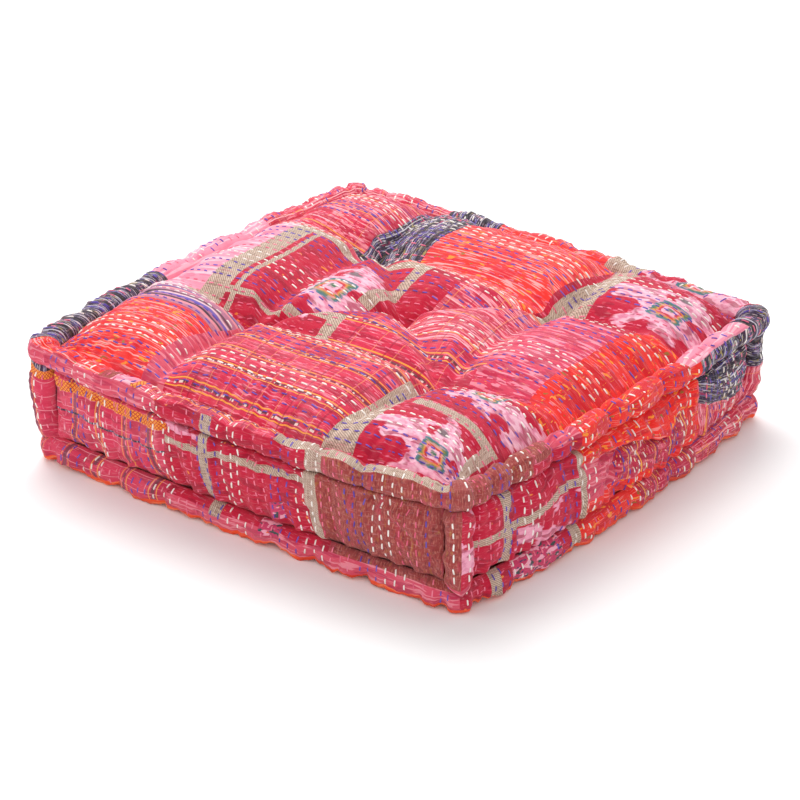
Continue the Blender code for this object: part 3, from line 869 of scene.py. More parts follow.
TOP_ROLL_PATCHES = (
    Patch(F.CRIMSON_STRIPE, -9, 2009, -9, 99),
    Patch(F.ROSE, -9, 172, -9, 28),
    Patch(F.DEEP_CRIMSON, 172, 354, -9, 28),
    Patch(F.KHAKI, 219, 235, -9, 28),
    Patch(F.KHAKI, 336, 354, -9, 28),
    Patch(F.BROWN, 354, 500, -9, 28),
    Patch(F.VERMILION, -9, 100, 28, 99),
    Patch(F.BROWN, 100, 114, 28, 99),
    Patch(F.LIGHT_PINK, 114, 138, 28, 99),
    Patch(F.DIAMOND, 138, 146, 28, 99),
    Patch(F.CRIMSON_STRIPE, 146, 172, 28, 99),
    Patch(F.CRIMSON_PLAID, 172, 302, 28, 99),
    Patch(F.KHAKI, 302, 346, 28, 99),
    Patch(F.DEEP_CRIMSON, 346, 480, 40, 99),
    Patch(F.KHAKI, 346, 480, 28, 40),
    Patch(F.BROWN, 480, 628, -9, 99),
    Patch(F.DEEP_CRIMSON, 600, 672, -9, 24),
    Patch(F.ROSE, 628, 672, 24, 99),
    Patch(F.SCARLET, 672, 846, -9, 99),
    Patch(F.LIGHT_PINK, 846, 948, 26, 99),
    Patch(F.SCARLET, 846, 862, -9, 26),
    Patch(F.DARK_PLAID, 862, 948, -9, 26),
    Patch(F.DARK_PLAID, 948, 1012, -9, 99),
    Patch(F.PINK_IKAT, 1012, 1143, -9, 99, 1080, 30),
    Patch(F.KHAKI, 1143, 1180, -9, 99),
    Patch(F.VERMILION, 1180, 1310, -9, 99),
    Patch(F.DARK_PLAID, 1310, 1372, -9, 99),
    Patch(F.CRIMSON_STRIPE, 1372, 1649, -9, 99),
    Patch(F.LIGHT_PINK, 1649, 1809, -9, 99),
    Patch(F.DARK_PLAID, 1809, 2009, -9, 99),
)
BASE_ROLL_PATCHES = (
    Patch(F.FLAMED, -9, 170, -9, 99),
    Patch(F.ROSE, 170, 500, -9, 99),
    Patch(F.DEEP_CRIMSON, 170, 354, 44, 99),
    Patch(F.KHAKI, 219, 235, 40, 99),
    Patch(F.MULTICOLOUR, 276, 300, 38, 99),
    Patch(F.BROWN, 354, 500, 46, 99),
    Patch(F.DEEP_CRIMSON, 500, 573, -9, 99),
    Patch(F.KHAKI, 544, 557, 30, 99),
    Patch(F.MULTICOLOUR, 573, 640, -9, 99),
    Patch(F.DEEP_CRIMSON, 640, 655, -9, 99),
    Patch(F.KHAKI, 655, 670, -9, 99),
    Patch(F.SCARLET, 670, 860, -9, 99),
    Patch(F.FLECKED, 760, 860, -9, 99),
    Patch(F.CRIMSON_STRIPE, 860, 1130, -9, 99),
    Patch(F.BROWN, 1130, 1320, -9, 99),
    Patch(F.ROSE, 1320, 1560, -9, 99),
    Patch(F.DARK_PLAID, 1560, 1660, -9, 99),
    Patch(F.CRIMSON_PLAID, 1660, 2009, -9, 99),
    Patch(F.ORANGE_RED, -9, 2009, -9, 31.5),
)
BASE_PATCHES = (Patch(F.ORANGE_RED, -300, 300, -300, 300),)
CORNER_PATCHES = (
    (
        Patch(F.FLAMED, 0, 100, 0, 200),
        Patch(F.DIAMOND, 0, 100, 86, 94),
        Patch(F.DARK_PLAID, 0, 100, 94, 200),
    ),
    (
        Patch(F.BROWN, 0, 44, 0, 200),
        Patch(F.IKAT_CLOUD, 44, 100, 0, 200, 58, 62),
        Patch(F.ROSE, 0, 100, 0, 30),
    ),
    (Patch(F.DARK_PLAID, 0, 100, 60, 200, turned=True), Patch(F.CRIMSON_STRIPE, 0, 100, 0, 60, turned=True)),
    (Patch(F.CRIMSON_STRIPE, 0, 100, 0, 200),),
)


# The form


@dataclass(frozen=True)
class RollSection:
    """The section of a rolled edge: a round with one flat side, which faces inwards at 45 degrees."""

    radius: float
    middle_height: float
    seat_side: int
    seat_offset: float = 0.0080
    roll_inset: float = 0.0005

    @property
    def middle_inset(self) -> float:
        """How far in from the outline the middle of the round is."""
        return self.radius + self.roll_inset

    def seat_ends(self, gap: float) -> tuple[np.ndarray, np.ndarray]:
        """The two ends of the flat side.

        Args:
            gap: How far they are moved into the body.

        Returns:
            (inset, height) of the inner end and of the outer end.
        """
        toward = np.array([1.0, self.seat_side]) / math.sqrt(2)
        along = np.array([1.0, -self.seat_side]) / math.sqrt(2)
        half_chord = math.sqrt(self.radius**2 - self.seat_offset**2)
        middle = np.array([self.middle_inset, self.middle_height])
        centre = middle + toward * (self.seat_offset + gap)
        return centre + along * half_chord, centre - along * half_chord

    def angles(self, share: np.ndarray) -> np.ndarray:
        """The directions from the middle of the round, from the inner end (0) to the outer end (1)."""
        half_angle = math.acos(self.seat_offset / self.radius)
        facing = math.atan2(self.seat_side, 1.0)
        turn = -self.seat_side
        return facing + turn * half_angle + turn * (2 * math.pi - 2 * half_angle) * share


TOP_SECTION = RollSection(0.0120, 0.110, -1)
BASE_SECTION = RollSection(0.0125, 0.0125, 1)

EDGE_TABLE = (
    # place, top_out, top_up, base_out, base_up
    (0.00, 2.0, 3.0, 0.0, 2.0),
    (0.25, 11.0, 0.0, 4.0, 0.0),
    (0.50, 14.0, -1.5, 6.0, 0.5),
    (0.75, 11.5, -1.5, 4.0, 0.0),
    (1.00, 0.5, 1.0, 1.0, 0.0),
    (1.25, 4.5, -3.0, 12.0, 0.0),
    (1.50, 8.0, -5.0, 16.0, 0.5),
    (1.75, 6.5, -6.5, 11.5, 0.5),
    (2.00, 1.0, -6.5, 0.5, 3.0),
    (2.25, 3.0, -4.0, 6.0, 0.5),
    (2.50, 5.0, -1.5, 9.0, 0.0),
    (2.75, 3.0, -0.5, 6.0, 0.5),
    (3.00, 0.0, 0.0, 0.0, 2.0),
    (3.25, 9.0, 2.5, 7.0, 0.0),
    (3.50, 12.5, 3.5, 10.0, 0.5),
    (3.75, 10.5, 3.5, 7.0, 0.0),
)
TUFTS = {
    "left": (-0.107, -0.092),
    "back": (-0.109, 0.106),
    "front": (0.108, -0.089),
    "right": (0.106, 0.101),
    "middle": (-0.007, 0.007),
}
CREASES = (
    # start, end, drop_start, drop_middle, drop_end
    ("middle", "left", 0.034, 0.016, 0.034),
    ("middle", "back", 0.034, 0.015, 0.034),
    ("middle", "front", 0.034, 0.017, 0.034),
    ("middle", "right", 0.034, 0.015, 0.034),
    ("left", "back", 0.034, 0.013, 0.034),
    ("back", "right", 0.034, 0.012, 0.034),
    ("right", "front", 0.034, 0.013, 0.034),
    ("front", "left", 0.034, 0.014, 0.034),
    ("left", (-0.226, -0.064), 0.034, 0.021, 0.012),
    ("left", (-0.100, -0.226), 0.034, 0.023, 0.014),
    ("back", (-0.226, 0.112), 0.034, 0.019, 0.010),
    ("back", (-0.128, 0.226), 0.034, 0.020, 0.012),
    ("front", (0.226, -0.070), 0.034, 0.020, 0.012),
    ("front", (0.092, -0.226), 0.034, 0.020, 0.012),
    ("right", (0.226, 0.112), 0.034, 0.019, 0.010),
    ("right", (0.090, 0.226), 0.034, 0.021, 0.012),
)
WALL_CREASES = (
    # place_start, share_start, place_end, share_end, depth in millimetres
    (0.10, 0.10, 0.34, 0.16, 3.5),
    (0.14, 0.78, 0.36, 0.92, 3.0),
    (0.36, 0.05, 0.37, 0.95, 4.0),
    (0.52, 0.12, 0.66, 0.20, 3.0),
    (0.73, 0.05, 0.74, 0.90, 3.0),
    (0.80, 0.16, 0.92, 0.10, 3.0),
    (1.16, 0.10, 1.30, 0.16, 3.0),
    (1.42, 0.62, 1.46, 0.92, 6.0),
    (1.50, 0.52, 1.70, 0.36, 7.0),
    (1.40, 0.10, 1.43, 0.55, 4.0),
    (1.84, 0.22, 1.94, 0.30, 4.5),
    (1.80, 0.55, 1.96, 0.62, 3.0),
    (2.20, 0.15, 2.42, 0.30, 4.0),
    (2.60, 0.20, 2.62, 0.85, 3.5),
    (2.75, 0.60, 2.90, 0.50, 4.0),
    (3.15, 0.20, 3.30, 0.25, 3.5),
    (3.48, 0.10, 3.50, 0.90, 3.5),
    (3.70, 0.45, 3.88, 0.60, 3.5),
)


def distance_to_segment(
    x: np.ndarray, y: np.ndarray, start: tuple[float, float], end: tuple[float, float]
) -> tuple[np.ndarray, np.ndarray]:
    """Distance from points to a segment.

    Args:
        x: First coordinates of the points.
        y: Second coordinates of the points.
        start: Where the segment starts.
        end: Where it ends.

    Returns:
        The distances, and how far along the segment each nearest point is, from 0 to 1.
    """
    run_x, run_y = end[0] - start[0], end[1] - start[1]
    share = ((x - start[0]) * run_x + (y - start[1]) * run_y) / (run_x * run_x + run_y * run_y)
    share = np.clip(share, 0, 1)
    return np.hypot(x - start[0] - share * run_x, y - start[1] - share * run_y), share


def refine(points: np.ndarray, axis: int, closed: bool = False) -> np.ndarray:
    """Doubles the points along one axis of a grid, on a smooth curve through the old ones.

    Args:
        points: Grid of points.
        axis: The axis to refine.
        closed: True if the grid joins up with itself along that axis.

    Returns:
        The finer grid.
    """
    points = np.moveaxis(points, axis, 0)
    if closed:
        before, after, later = (np.roll(points, -k, 0) for k in (-1, 1, 2))
        middles = (9 * (points + after) - before - later) / 16
        fine = np.stack([points, middles], 1).reshape(-1, *points.shape[1:])
        return np.moveaxis(fine, 0, axis)
    padded = np.concatenate([2 * points[:1] - points[1:2], points, 2 * points[-1:] - points[-2:-1]])
    middles = (9 * (padded[1:-2] + padded[2:-1]) - padded[:-3] - padded[3:]) / 16
    fine = np.empty((2 * len(points) - 1, *points.shape[1:]))
    fine[0::2] = points
    fine[1::2] = middles
    return np.moveaxis(fine, 0, axis)


def wavy(rng: np.random.Generator, places: np.ndarray, wavelength: float, waves: int = 5) -> np.ndarray:
    """A smooth random line.

    Args:
        rng: Seeded source of the draws.
        places: Where it is wanted, in metres.
        wavelength: The usual length of a wave.
        waves: How many waves are added up.

    Returns:
        Values that run between about -1 and 1.
    """
    total = np.zeros_like(places)
    for _ in range(waves):
        length = wavelength * rng.uniform(0.55, 1.9)
        total += np.sin(2 * np.pi * places / length + rng.uniform(0, 2 * np.pi))
    return total / math.sqrt(waves)


@dataclass(frozen=True)
class CushionForm:
    """Sizes of the cushion, and the lines and surfaces that they give."""

    side: float = 0.500
    corner_radius: float = 0.015
    inner_radius_share: float = 0.25
    inner_reach: float = 0.026
    coarse_steps: int = 38
    corner_share: float = 3 / 38
    base_inset: float = 0.0040
    fit_gap: float = 0.00035
    crown: float = 0.0320
    crown_rise: float = 0.019
    tuft_drop: float = 0.0360
    tuft_reach: float = 0.0240
    tuft_point: float = 1.4
    crease_reach: float = 0.0200
    crease_point: float = 1.5
    crease_spread: float = 0.7
    relax_rounds: int = 120
    tuft_pull_reach: float = 0.040
    wall_inset: float = 0.0125
    wall_swell: float = 0.0118
    wall_fullness: float = 0.26
    wall_height: float = 0.073
    wall_crease_reach: float = 0.0085
    corner_tuck: float = 20.0
    corner_roll_radius: float = 0.0140
    corner_seat_offset: float = 0.0090
    base_tuft_rise: float = 0.0140
    base_crease_share: float = 0.35
    base_crease_floor: float = 0.016
    base_edge_reach: float = 0.011
    base_flat_depth: float = 0.0012

    @property
    def half(self) -> float:
        """Half of the side."""
        return self.side / 2

    def along_table(self, place: np.ndarray, column: int) -> np.ndarray:
        """One column of the edge table on a smooth closed curve.

        Args:
            place: Places round the cushion, from 0 round to 4.
            column: The column of the table.

        Returns:
            The values there, in metres.
        """
        rows = len(EDGE_TABLE)
        values = np.array([row[column] for row in EDGE_TABLE]) * MM
        at = np.mod(np.asarray(place, float), 4.0) / 4.0 * rows
        first = np.floor(at).astype(int)
        t = at - first
        before, here, after, later = (values[(first + k) % rows] for k in (-1, 0, 1, 2))
        slope_here = (after - before) / 2
        slope_after = (later - here) / 2
        return (
            (2 * t**3 - 3 * t**2 + 1) * here
            + (t**3 - 2 * t**2 + t) * slope_here
            + (3 * t**2 - 2 * t**3) * after
            + (t**3 - t**2) * slope_after
        )

    def corner_direction(self, corner: int) -> np.ndarray:
        """The outward direction of a corner, by its number."""
        x = (-1, 1, 1, -1)[corner % 4]
        y = (-1, -1, 1, 1)[corner % 4]
        return np.array([x, y]) / math.sqrt(2)

    def turned(self, x: np.ndarray, y: np.ndarray, side: np.ndarray) -> tuple[np.ndarray, np.ndarray]:
        """A point of the front side, turned to the same place on side 0 front, 1 right, 2 back or 3 left."""
        return np.choose(side, (x, -y, -x, y)), np.choose(side, (y, x, -y, -x))

    def outline(self, place: np.ndarray, half: np.ndarray, radius: np.ndarray) -> tuple[np.ndarray, np.ndarray]:
        """Points of a square with rounded corners.

        Args:
            place: Places round the square, from 0 round to 4.
            half: Half of its side.
            radius: The radius of its corners.

        Returns:
            The plan points and their outward directions.
        """
        place = np.mod(np.asarray(place, float), 4.0)
        side = np.floor(place).astype(int)
        step = place - side
        flat = half - radius
        from_middle = (step - 0.5) / (0.5 - self.corner_share)
        in_corner = np.abs(from_middle) > 1
        into_corner = (np.abs(step - 0.5) - (0.5 - self.corner_share)) / self.corner_share
        angle = np.sign(from_middle) * into_corner.clip(0, 1) * math.pi / 4
        out_x, out_y = np.sin(angle), -np.cos(angle)
        x = np.where(in_corner, np.sign(from_middle), from_middle) * flat + radius * out_x
        y = radius * out_y - flat
        plan = np.stack(self.turned(x, y, side), -1)
        outward = np.stack(self.turned(out_x, out_y, side), -1)
        return plan, outward

    def bend(self, inset: np.ndarray) -> np.ndarray:
        """The radius of the corners at this distance in from the outline."""
        return self.corner_radius * (1 - (1 - self.inner_radius_share) * np.minimum(inset / self.inner_reach, 1))

    def edge(self, top: bool, place: np.ndarray, inset: np.ndarray, height: np.ndarray) -> np.ndarray:
        """Points round the top edge or the base edge.

        Args:
            top: True for the top edge.
            place: Places round the cushion.
            inset: How far in from the edge's own outline.
            height: The height before the edge's unevenness.

        Returns:
            The points.
        """
        half = self.half - inset if top else self.half - self.base_inset - inset
        out_column, up_column = (1, 2) if top else (3, 4)
        plan, outward = self.outline(place, half, self.bend(inset))
        plan = plan + outward * self.along_table(place, out_column)[..., None]
        rise = height + self.along_table(place, up_column)
        return np.concatenate([plan, rise[..., None]], -1)

    def tuft_fall(self, x: np.ndarray, y: np.ndarray) -> np.ndarray:
        """How far the tufts and creases pull the top down at each plan point."""
        drop = np.zeros_like(x)
        for centre in TUFTS.values():
            away = np.hypot(x - centre[0], y - centre[1])
            drop = np.maximum(drop, self.tuft_drop * np.exp(-((away / self.tuft_reach) ** self.tuft_point)))
        for start, end, drop_start, drop_middle, drop_end in CREASES:
            start = TUFTS[start] if isinstance(start, str) else start
            end = TUFTS[end] if isinstance(end, str) else end
            away, t = distance_to_segment(x, y, start, end)
            ends = drop_start * (1 - t) + drop_end * t
            sag = (drop_middle - (drop_start + drop_end) / 2) * np.sin(np.pi * t) ** self.crease_spread
            drop = np.maximum(drop, (ends + sag) * np.exp(-((away / self.crease_reach) ** self.crease_point)))
        return drop

    def panel_grid(self, loop: np.ndarray) -> np.ndarray:
        """A square grid of points whose rim is a closed loop, evenly spread and with a point at each tuft.

        Args:
            loop: The rim's points, from the left corner round.

        Returns:
            The grid: rows run along +X, and columns along +Y.
        """
        n = self.coarse_steps
        ring = np.concatenate([loop, loop[:1]])
        front, right = ring[: n + 1], ring[n : 2 * n + 1]
        back, left = ring[2 * n : 3 * n + 1][::-1], ring[3 * n : 4 * n + 1][::-1]
        u = np.linspace(0, 1, n + 1)[None, :, None]
        v = np.linspace(0, 1, n + 1)[:, None, None]
        across = (1 - u) * left[:, None, :] + u * right[:, None, :]
        up = (1 - v) * front[None, :, :] + v * back[None, :, :]
        corners = (
            (1 - u) * (1 - v) * front[0] + u * (1 - v) * front[-1] + (1 - u) * v * back[0] + u * v * back[-1]
        )
        points = across + up - corners
        for _ in range(self.relax_rounds):
            across = points[1:-1, :-2] + points[1:-1, 2:]
            up = points[:-2, 1:-1] + points[2:, 1:-1]
            points[1:-1, 1:-1] = (across + up) / 4
        for centre in TUFTS.values():
            offset = np.array(centre) - points[..., :2]
            away = np.hypot(offset[..., 0], offset[..., 1])
            nearest = np.unravel_index(np.argmin(away), away.shape)
            pull = np.exp(-((away / self.tuft_pull_reach) ** 2))
            points[1:-1, 1:-1, :2] += pull[1:-1, 1:-1, None] * offset[nearest]
        return points

    def rim_rise(self, points: np.ndarray, reach: float) -> np.ndarray:
        """Rises from 0 at the rim of a panel to 1 inside it."""
        x, y = points[..., 0], points[..., 1]
        rise = np.ones_like(x)
        for away in (x - x[:, :1], x[:, -1:] - x, y - y[:1, :], y[-1:, :] - y):
            rise *= 1 - np.exp(-away.clip(0) / reach)
        return rise

    def corner_seat(self, corner: int) -> tuple[np.ndarray, np.ndarray, float]:
        """The flat that carries an upright corner roll.

        Args:
            corner: The corner's number.

        Returns:
            The plan middle of the roll, its outward direction and the half width of the flat.
        """
        outward = self.corner_direction(corner)
        reach = (self.half - self.corner_radius) * math.sqrt(2) + self.corner_radius
        shift = (self.along_table(corner, 1) + self.along_table(corner, 3)) / 2
        middle = outward * (reach + shift - self.corner_roll_radius)
        return middle, outward, math.sqrt(self.corner_roll_radius**2 - self.corner_seat_offset**2)

    def wall_dent(self, place: np.ndarray, share: np.ndarray) -> np.ndarray:
        """Depth of the wall's creases at these places and shares of its height."""
        dent = np.zeros_like(place + share)
        for start, share_start, end, share_end, depth in WALL_CREASES:
            away, _ = distance_to_segment(
                place * self.side,
                share * self.wall_height,
                (start * self.side, share_start * self.wall_height),
                (end * self.side, share_end * self.wall_height),
            )
            press = np.exp(-((away / self.wall_crease_reach) ** self.crease_point))
            dent = np.maximum(dent, depth * MM * press)
        return dent

    def wall_points(self, side: int, along: np.ndarray, share: np.ndarray) -> np.ndarray:
        """Points of one wall.

        Args:
            side: 0 front, 1 right, 2 back, 3 left.
            along: From 0 at the wall's first corner roll to 1 at its second one.
            share: From 0 under the top roll to 1 over the base roll.

        Returns:
            The points, with unevenness and creases.
        """
        n = self.coarse_steps
        place = side + (1 + along * (n - 2)) / n
        ends = [self.corner_seat(side), self.corner_seat(side + 1)]
        reach = [np.hypot(*middle) - self.corner_seat_offset - self.fit_gap for middle, _, _ in ends]
        half_chord = ends[0][2]
        near = [(value + half_chord) / math.sqrt(2) for value in reach]
        far = [(value - half_chord) / math.sqrt(2) for value in reach]
        run = -far[0] * (1 - along) + far[1] * along
        flush = near[0] * (1 - along) + near[1] * along
        end = np.minimum(along, 1 - along).clip(0) * 2
        shift = self.along_table(place, 1) * (1 - share) + self.along_table(place, 3) * share
        swell = self.wall_swell * np.sin(np.pi * share.clip(0, 1)) ** self.wall_fullness
        full = self.half - self.wall_inset - self.base_inset * share + swell + shift
        full = full - self.wall_dent(place, share)
        out = flush + (full - flush) * (1 - np.exp(-end * self.corner_tuck))
        sides = np.full(np.broadcast(along, share).shape, side)
        plan = np.stack(self.turned(run + 0 * share, -out, sides), -1)
        highest = TOP_SECTION.seat_ends(self.fit_gap)[1][1] + self.along_table(place, 2)
        lowest = BASE_SECTION.seat_ends(self.fit_gap)[1][1] + self.along_table(place, 4)
        height = highest * (1 - share) + lowest * share
        return np.concatenate([plan, height[..., None]], -1)


FORM = CushionForm()


# Cloth meshes


@dataclass(frozen=True)
class Drift:
    """How a cloth slides over its form: its reach, its waves, and a lean that is given."""

    seed: int
    reach: float = 0.0028
    wavelength: float = 0.11
    waves: int = 6
    edge: float = 0.020
    lean: tuple[tuple[float, float], ...] = ()


@dataclass
class ClothSheet:
    """A sheet of quilted cloth on a grid: rows go up its second direction, columns along its first one."""

    name: str
    points: np.ndarray
    run: np.ndarray
    rise: np.ndarray
    patches: tuple[Patch, ...]
    closed_run: bool = False
    closed_rise: bool = False
    bake_strips: int = 1

    def normals(self) -> np.ndarray:
        """Outward direction at every point of the grid."""
        if self.closed_run:
            du = np.roll(self.points, -1, 1) - np.roll(self.points, 1, 1)
        else:
            du = np.gradient(self.points, axis=1)
        if self.closed_rise:
            dv = np.roll(self.points, -1, 0) - np.roll(self.points, 1, 0)
        else:
            dv = np.gradient(self.points, axis=0)
        normal = np.cross(du, dv)
        return normal / np.maximum(np.linalg.norm(normal, axis=-1, keepdims=True), 1e-12)

    def at(self, run: np.ndarray, rise: np.ndarray) -> tuple[np.ndarray, np.ndarray]:
        """Points on the sheet and their outward directions.

        Args:
            run: Positions along the first direction, in metres.
            rise: Positions along the second direction, in metres.

        Returns:
            The points and the directions.
        """
        rows, columns = self.points.shape[:2]
        run_at = np.interp(run, self.run, np.arange(len(self.run))).clip(0, len(self.run) - 1.001)
        rise_at = np.interp(rise, self.rise, np.arange(len(self.rise))).clip(0, len(self.rise) - 1.001)
        column, row = np.floor(run_at).astype(int), np.floor(rise_at).astype(int)
        s, t = (run_at - column)[..., None], (rise_at - row)[..., None]
        after, above = (column + 1) % columns, (row + 1) % rows
        found = []
        for grid in (self.points, self.normals()):
            low = grid[row, column] * (1 - s) + grid[row, after] * s
            high = grid[above, column] * (1 - s) + grid[above, after] * s
            found.append(low * (1 - t) + high * t)
        return found[0], found[1]

    def drift(self, drift: "Drift") -> None:
        """Slides the cloth over its form, so that the edges of its patches don't run straight.

        Args:
            drift: How far, how evenly and where the cloth slides.
        """
        rng = np.random.default_rng(drift.seed)
        run, rise = np.meshgrid(self.run, self.rise)
        shifts = np.zeros((2, *run.shape))
        for _ in range(drift.waves):
            heading, phase = rng.uniform(0, 2 * np.pi, 2)
            length = drift.wavelength * rng.uniform(0.6, 1.8)
            place = run * math.cos(heading) + rise * math.sin(heading)
            wave = np.sin(2 * np.pi * place / length + phase)
            shifts += wave * rng.normal(size=(2, 1, 1)) * drift.reach / math.sqrt(drift.waves / 2)
        from_ends = np.minimum(run - self.run[0], self.run[-1] - run)
        from_sides = np.minimum(rise - self.rise[0], self.rise[-1] - rise)
        fade_run = np.clip(from_ends / drift.edge, 0, 1)
        fade_rise = np.clip(from_sides / drift.edge, 0, 1)
        shifts[0] *= fade_run
        if drift.lean:
            places, leans = np.array(drift.lean).T * MM
            shifts[1] += np.interp(run, places, leans)
        shifts[1] *= fade_rise
        self.points = self.at(run + shifts[0], rise + shifts[1])[0]

    def faces(self) -> np.ndarray:
        """Corner numbers of every square face, row by row."""
        rows, columns = self.points.shape[:2]
        face_columns = np.arange(columns if self.closed_run else columns - 1)
        face_rows = np.arange(rows if self.closed_rise else rows - 1)
        row, column = np.meshgrid(face_rows, face_columns, indexing="ij")
        after, above = (column + 1) % columns, (row + 1) % rows
        corners = (
            row * columns + column,
            row * columns + after,
            above * columns + after,
            above * columns + column,
        )
        return np.stack(corners, -1).reshape(-1, 4)

    def build(self, wardrobe: Wardrobe) -> bpy.types.Object:
        """Makes the mesh, its patches and its maps.

        Args:
            wardrobe: The materials.

        Returns:
            The new object.
        """
        rows, columns = self.points.shape[:2]
        faces = self.faces()
        face_columns = columns if self.closed_run else columns - 1
        face_rows = len(faces) // face_columns
        mesh = bpy.data.meshes.new(self.name)
        mesh.from_pydata(self.points.reshape(-1, 3), [], faces)
        rise = self.rise if len(self.rise) > face_rows else np.append(self.rise, 2 * self.rise[-1] - self.rise[-2])
        run_low, run_high = self.run[:face_columns], self.run[1 : face_columns + 1]
        rise_low, rise_high = rise[:face_rows], rise[1 : face_rows + 1]
        run_corners = np.stack([run_low, run_high, run_high, run_low], -1)[None]
        rise_corners = np.stack([rise_low, rise_low, rise_high, rise_high], -1)[:, None]
        run_corners, rise_corners = np.broadcast_arrays(run_corners, rise_corners)
        run_corners = run_corners.reshape(-1, 4)
        rise_corners = rise_corners.reshape(-1, 4)
        middle_run, middle_rise = run_corners.mean(1), rise_corners.mean(1)
        chosen = np.zeros(len(faces), int)
        for number, patch in enumerate(self.patches):
            within = (middle_run >= patch.start_u * MM) & (middle_run < patch.end_u * MM)
            within &= (middle_rise >= patch.start_v * MM) & (middle_rise < patch.end_v * MM)
            chosen[within] = number
        used = sorted({patch.fabric for patch in self.patches}, key=lambda fabric: fabric.value)
        for fabric in used:
            mesh.materials.append(wardrobe.cloths[fabric])
        slots = np.array([used.index(patch.fabric) for patch in self.patches])
        mesh.polygons.foreach_set("material_index", slots[chosen])
        middles = np.array([(patch.middle_u, patch.middle_v) for patch in self.patches]) * MM
        turned = np.array([patch.turned for patch in self.patches])[chosen]
        cloth_u = run_corners - middles[chosen, 0, None]
        cloth_v = rise_corners - middles[chosen, 1, None]
        cloth_u, cloth_v = (
            np.where(turned[:, None], cloth_v, cloth_u),
            np.where(turned[:, None], cloth_u, cloth_v),
        )
        self.write_map(mesh, CLOTH_MAP, cloth_u, cloth_v)
        strip_columns = face_columns // self.bake_strips
        column = np.arange(face_columns)
        strip = column // strip_columns
        place = (column % strip_columns) / strip_columns
        width = 1 / strip_columns
        bake_u = np.stack([place, place + width, place + width, place], -1)[None]
        row_place = np.arange(face_rows) / face_rows
        height = 1 / face_rows
        bake_v = np.stack([row_place, row_place, row_place + height, row_place + height], -1)[:, None]
        bake_v = (bake_v * (1 - 2 * BAKE_MARGIN) + BAKE_MARGIN + strip[None, :, None]) / self.bake_strips
        bake_u, bake_v = np.broadcast_arrays(bake_u, bake_v)
        bake_u = bake_u.reshape(-1, 4) * (1 - 2 * BAKE_MARGIN) + BAKE_MARGIN
        self.write_map(mesh, BAKE_MAP, bake_u, bake_v.reshape(-1, 4))
        mesh.shade_smooth()
        piece = bpy.data.objects.new(self.name, mesh)
        piece.location.y = SET_BACK
        bpy.context.scene.collection.objects.link(piece)
        return piece

    def write_map(self, mesh: bpy.types.Mesh, name: str, u: np.ndarray, v: np.ndarray) -> None:
        """Writes one UV map of the mesh from the corners' values."""
        layer = mesh.uv_layers.new(name=name)
        layer.data.foreach_set("uv", np.stack([u, v], -1).astype(np.float32).ravel())


@dataclass(frozen=True)
class Filling:
    """Loose cotton that swells a sheet of cloth while its held points stay."""

    pressure: float = 4.0
    slack: float = 0.05
    frames: int = 20
    cap: float = 0.004
    mass: float = 0.3
    stretch: float = 15.0
    bending: float = 0.3

    def swell(self, sheet: ClothSheet, held: np.ndarray) -> None:
        """Lets the sheet billow and wrinkle, then keeps the result within the cap.

        Args:
            sheet: The cloth, whose points are moved.
            held: How firmly each point is held, from 0 to 1.
        """
        start = sheet.points.copy()
        mesh = bpy.data.meshes.new("filling_run")
        mesh.from_pydata(start.reshape(-1, 3), [], sheet.faces())
        piece = bpy.data.objects.new("filling_run", mesh)
        bpy.context.scene.collection.objects.link(piece)
        group = piece.vertex_groups.new(name="held")
        firmness = held.ravel()
        for level in np.unique(firmness[firmness > 0]):
            group.add(np.flatnonzero(firmness == level).tolist(), float(level), "REPLACE")
        cloth = piece.modifiers.new("cloth", "CLOTH")
        settings = cloth.settings
        settings.quality = 6
        settings.mass = self.mass
        settings.use_pressure = True
        settings.uniform_pressure_force = self.pressure
        settings.tension_stiffness = self.stretch
        settings.compression_stiffness = self.stretch
        settings.shear_stiffness = self.stretch / 3
        settings.bending_stiffness = self.bending
        settings.tension_damping = 12.0
        settings.compression_damping = 12.0
        settings.shrink_min = -self.slack
        settings.vertex_group_mass = "held"
        settings.effector_weights.gravity = 0.0
        cloth.collision_settings.use_collision = False
        cloth.point_cache.frame_start = 1
        cloth.point_cache.frame_end = self.frames
        scene = bpy.context.scene
        for number in range(1, self.frames + 1):
            scene.frame_set(number)
        depsgraph = bpy.context.evaluated_depsgraph_get()
        settled = piece.evaluated_get(depsgraph).data
        moved = np.empty(len(settled.vertices) * 3, np.float32)
        settled.vertices.foreach_get("co", moved)
        scene.frame_set(1)
        bpy.data.objects.remove(piece)
        bpy.data.meshes.remove(mesh)
        shift = moved.reshape(start.shape).astype(float) - start
        length = np.linalg.norm(shift, axis=-1, keepdims=True)
        capped = self.cap * np.tanh(length / self.cap)
        sheet.points = start + shift * capped / np.maximum(length, 1e-12)


# The stitches


@dataclass(frozen=True)
class StitchPlan:
    """Rows of running stitches on one sheet."""

    across_rise: bool
    first_row: float
    row_pitch: float = 0.00961
    colour_order: tuple[ThreadColour, ...] = (ThreadColour.WHITE, ThreadColour.PINK, ThreadColour.VIOLET)
    start: float = -1.0
    end: float = 1.0
    low: float = -1.0
    high: float = 1.0
    seed: int = 1


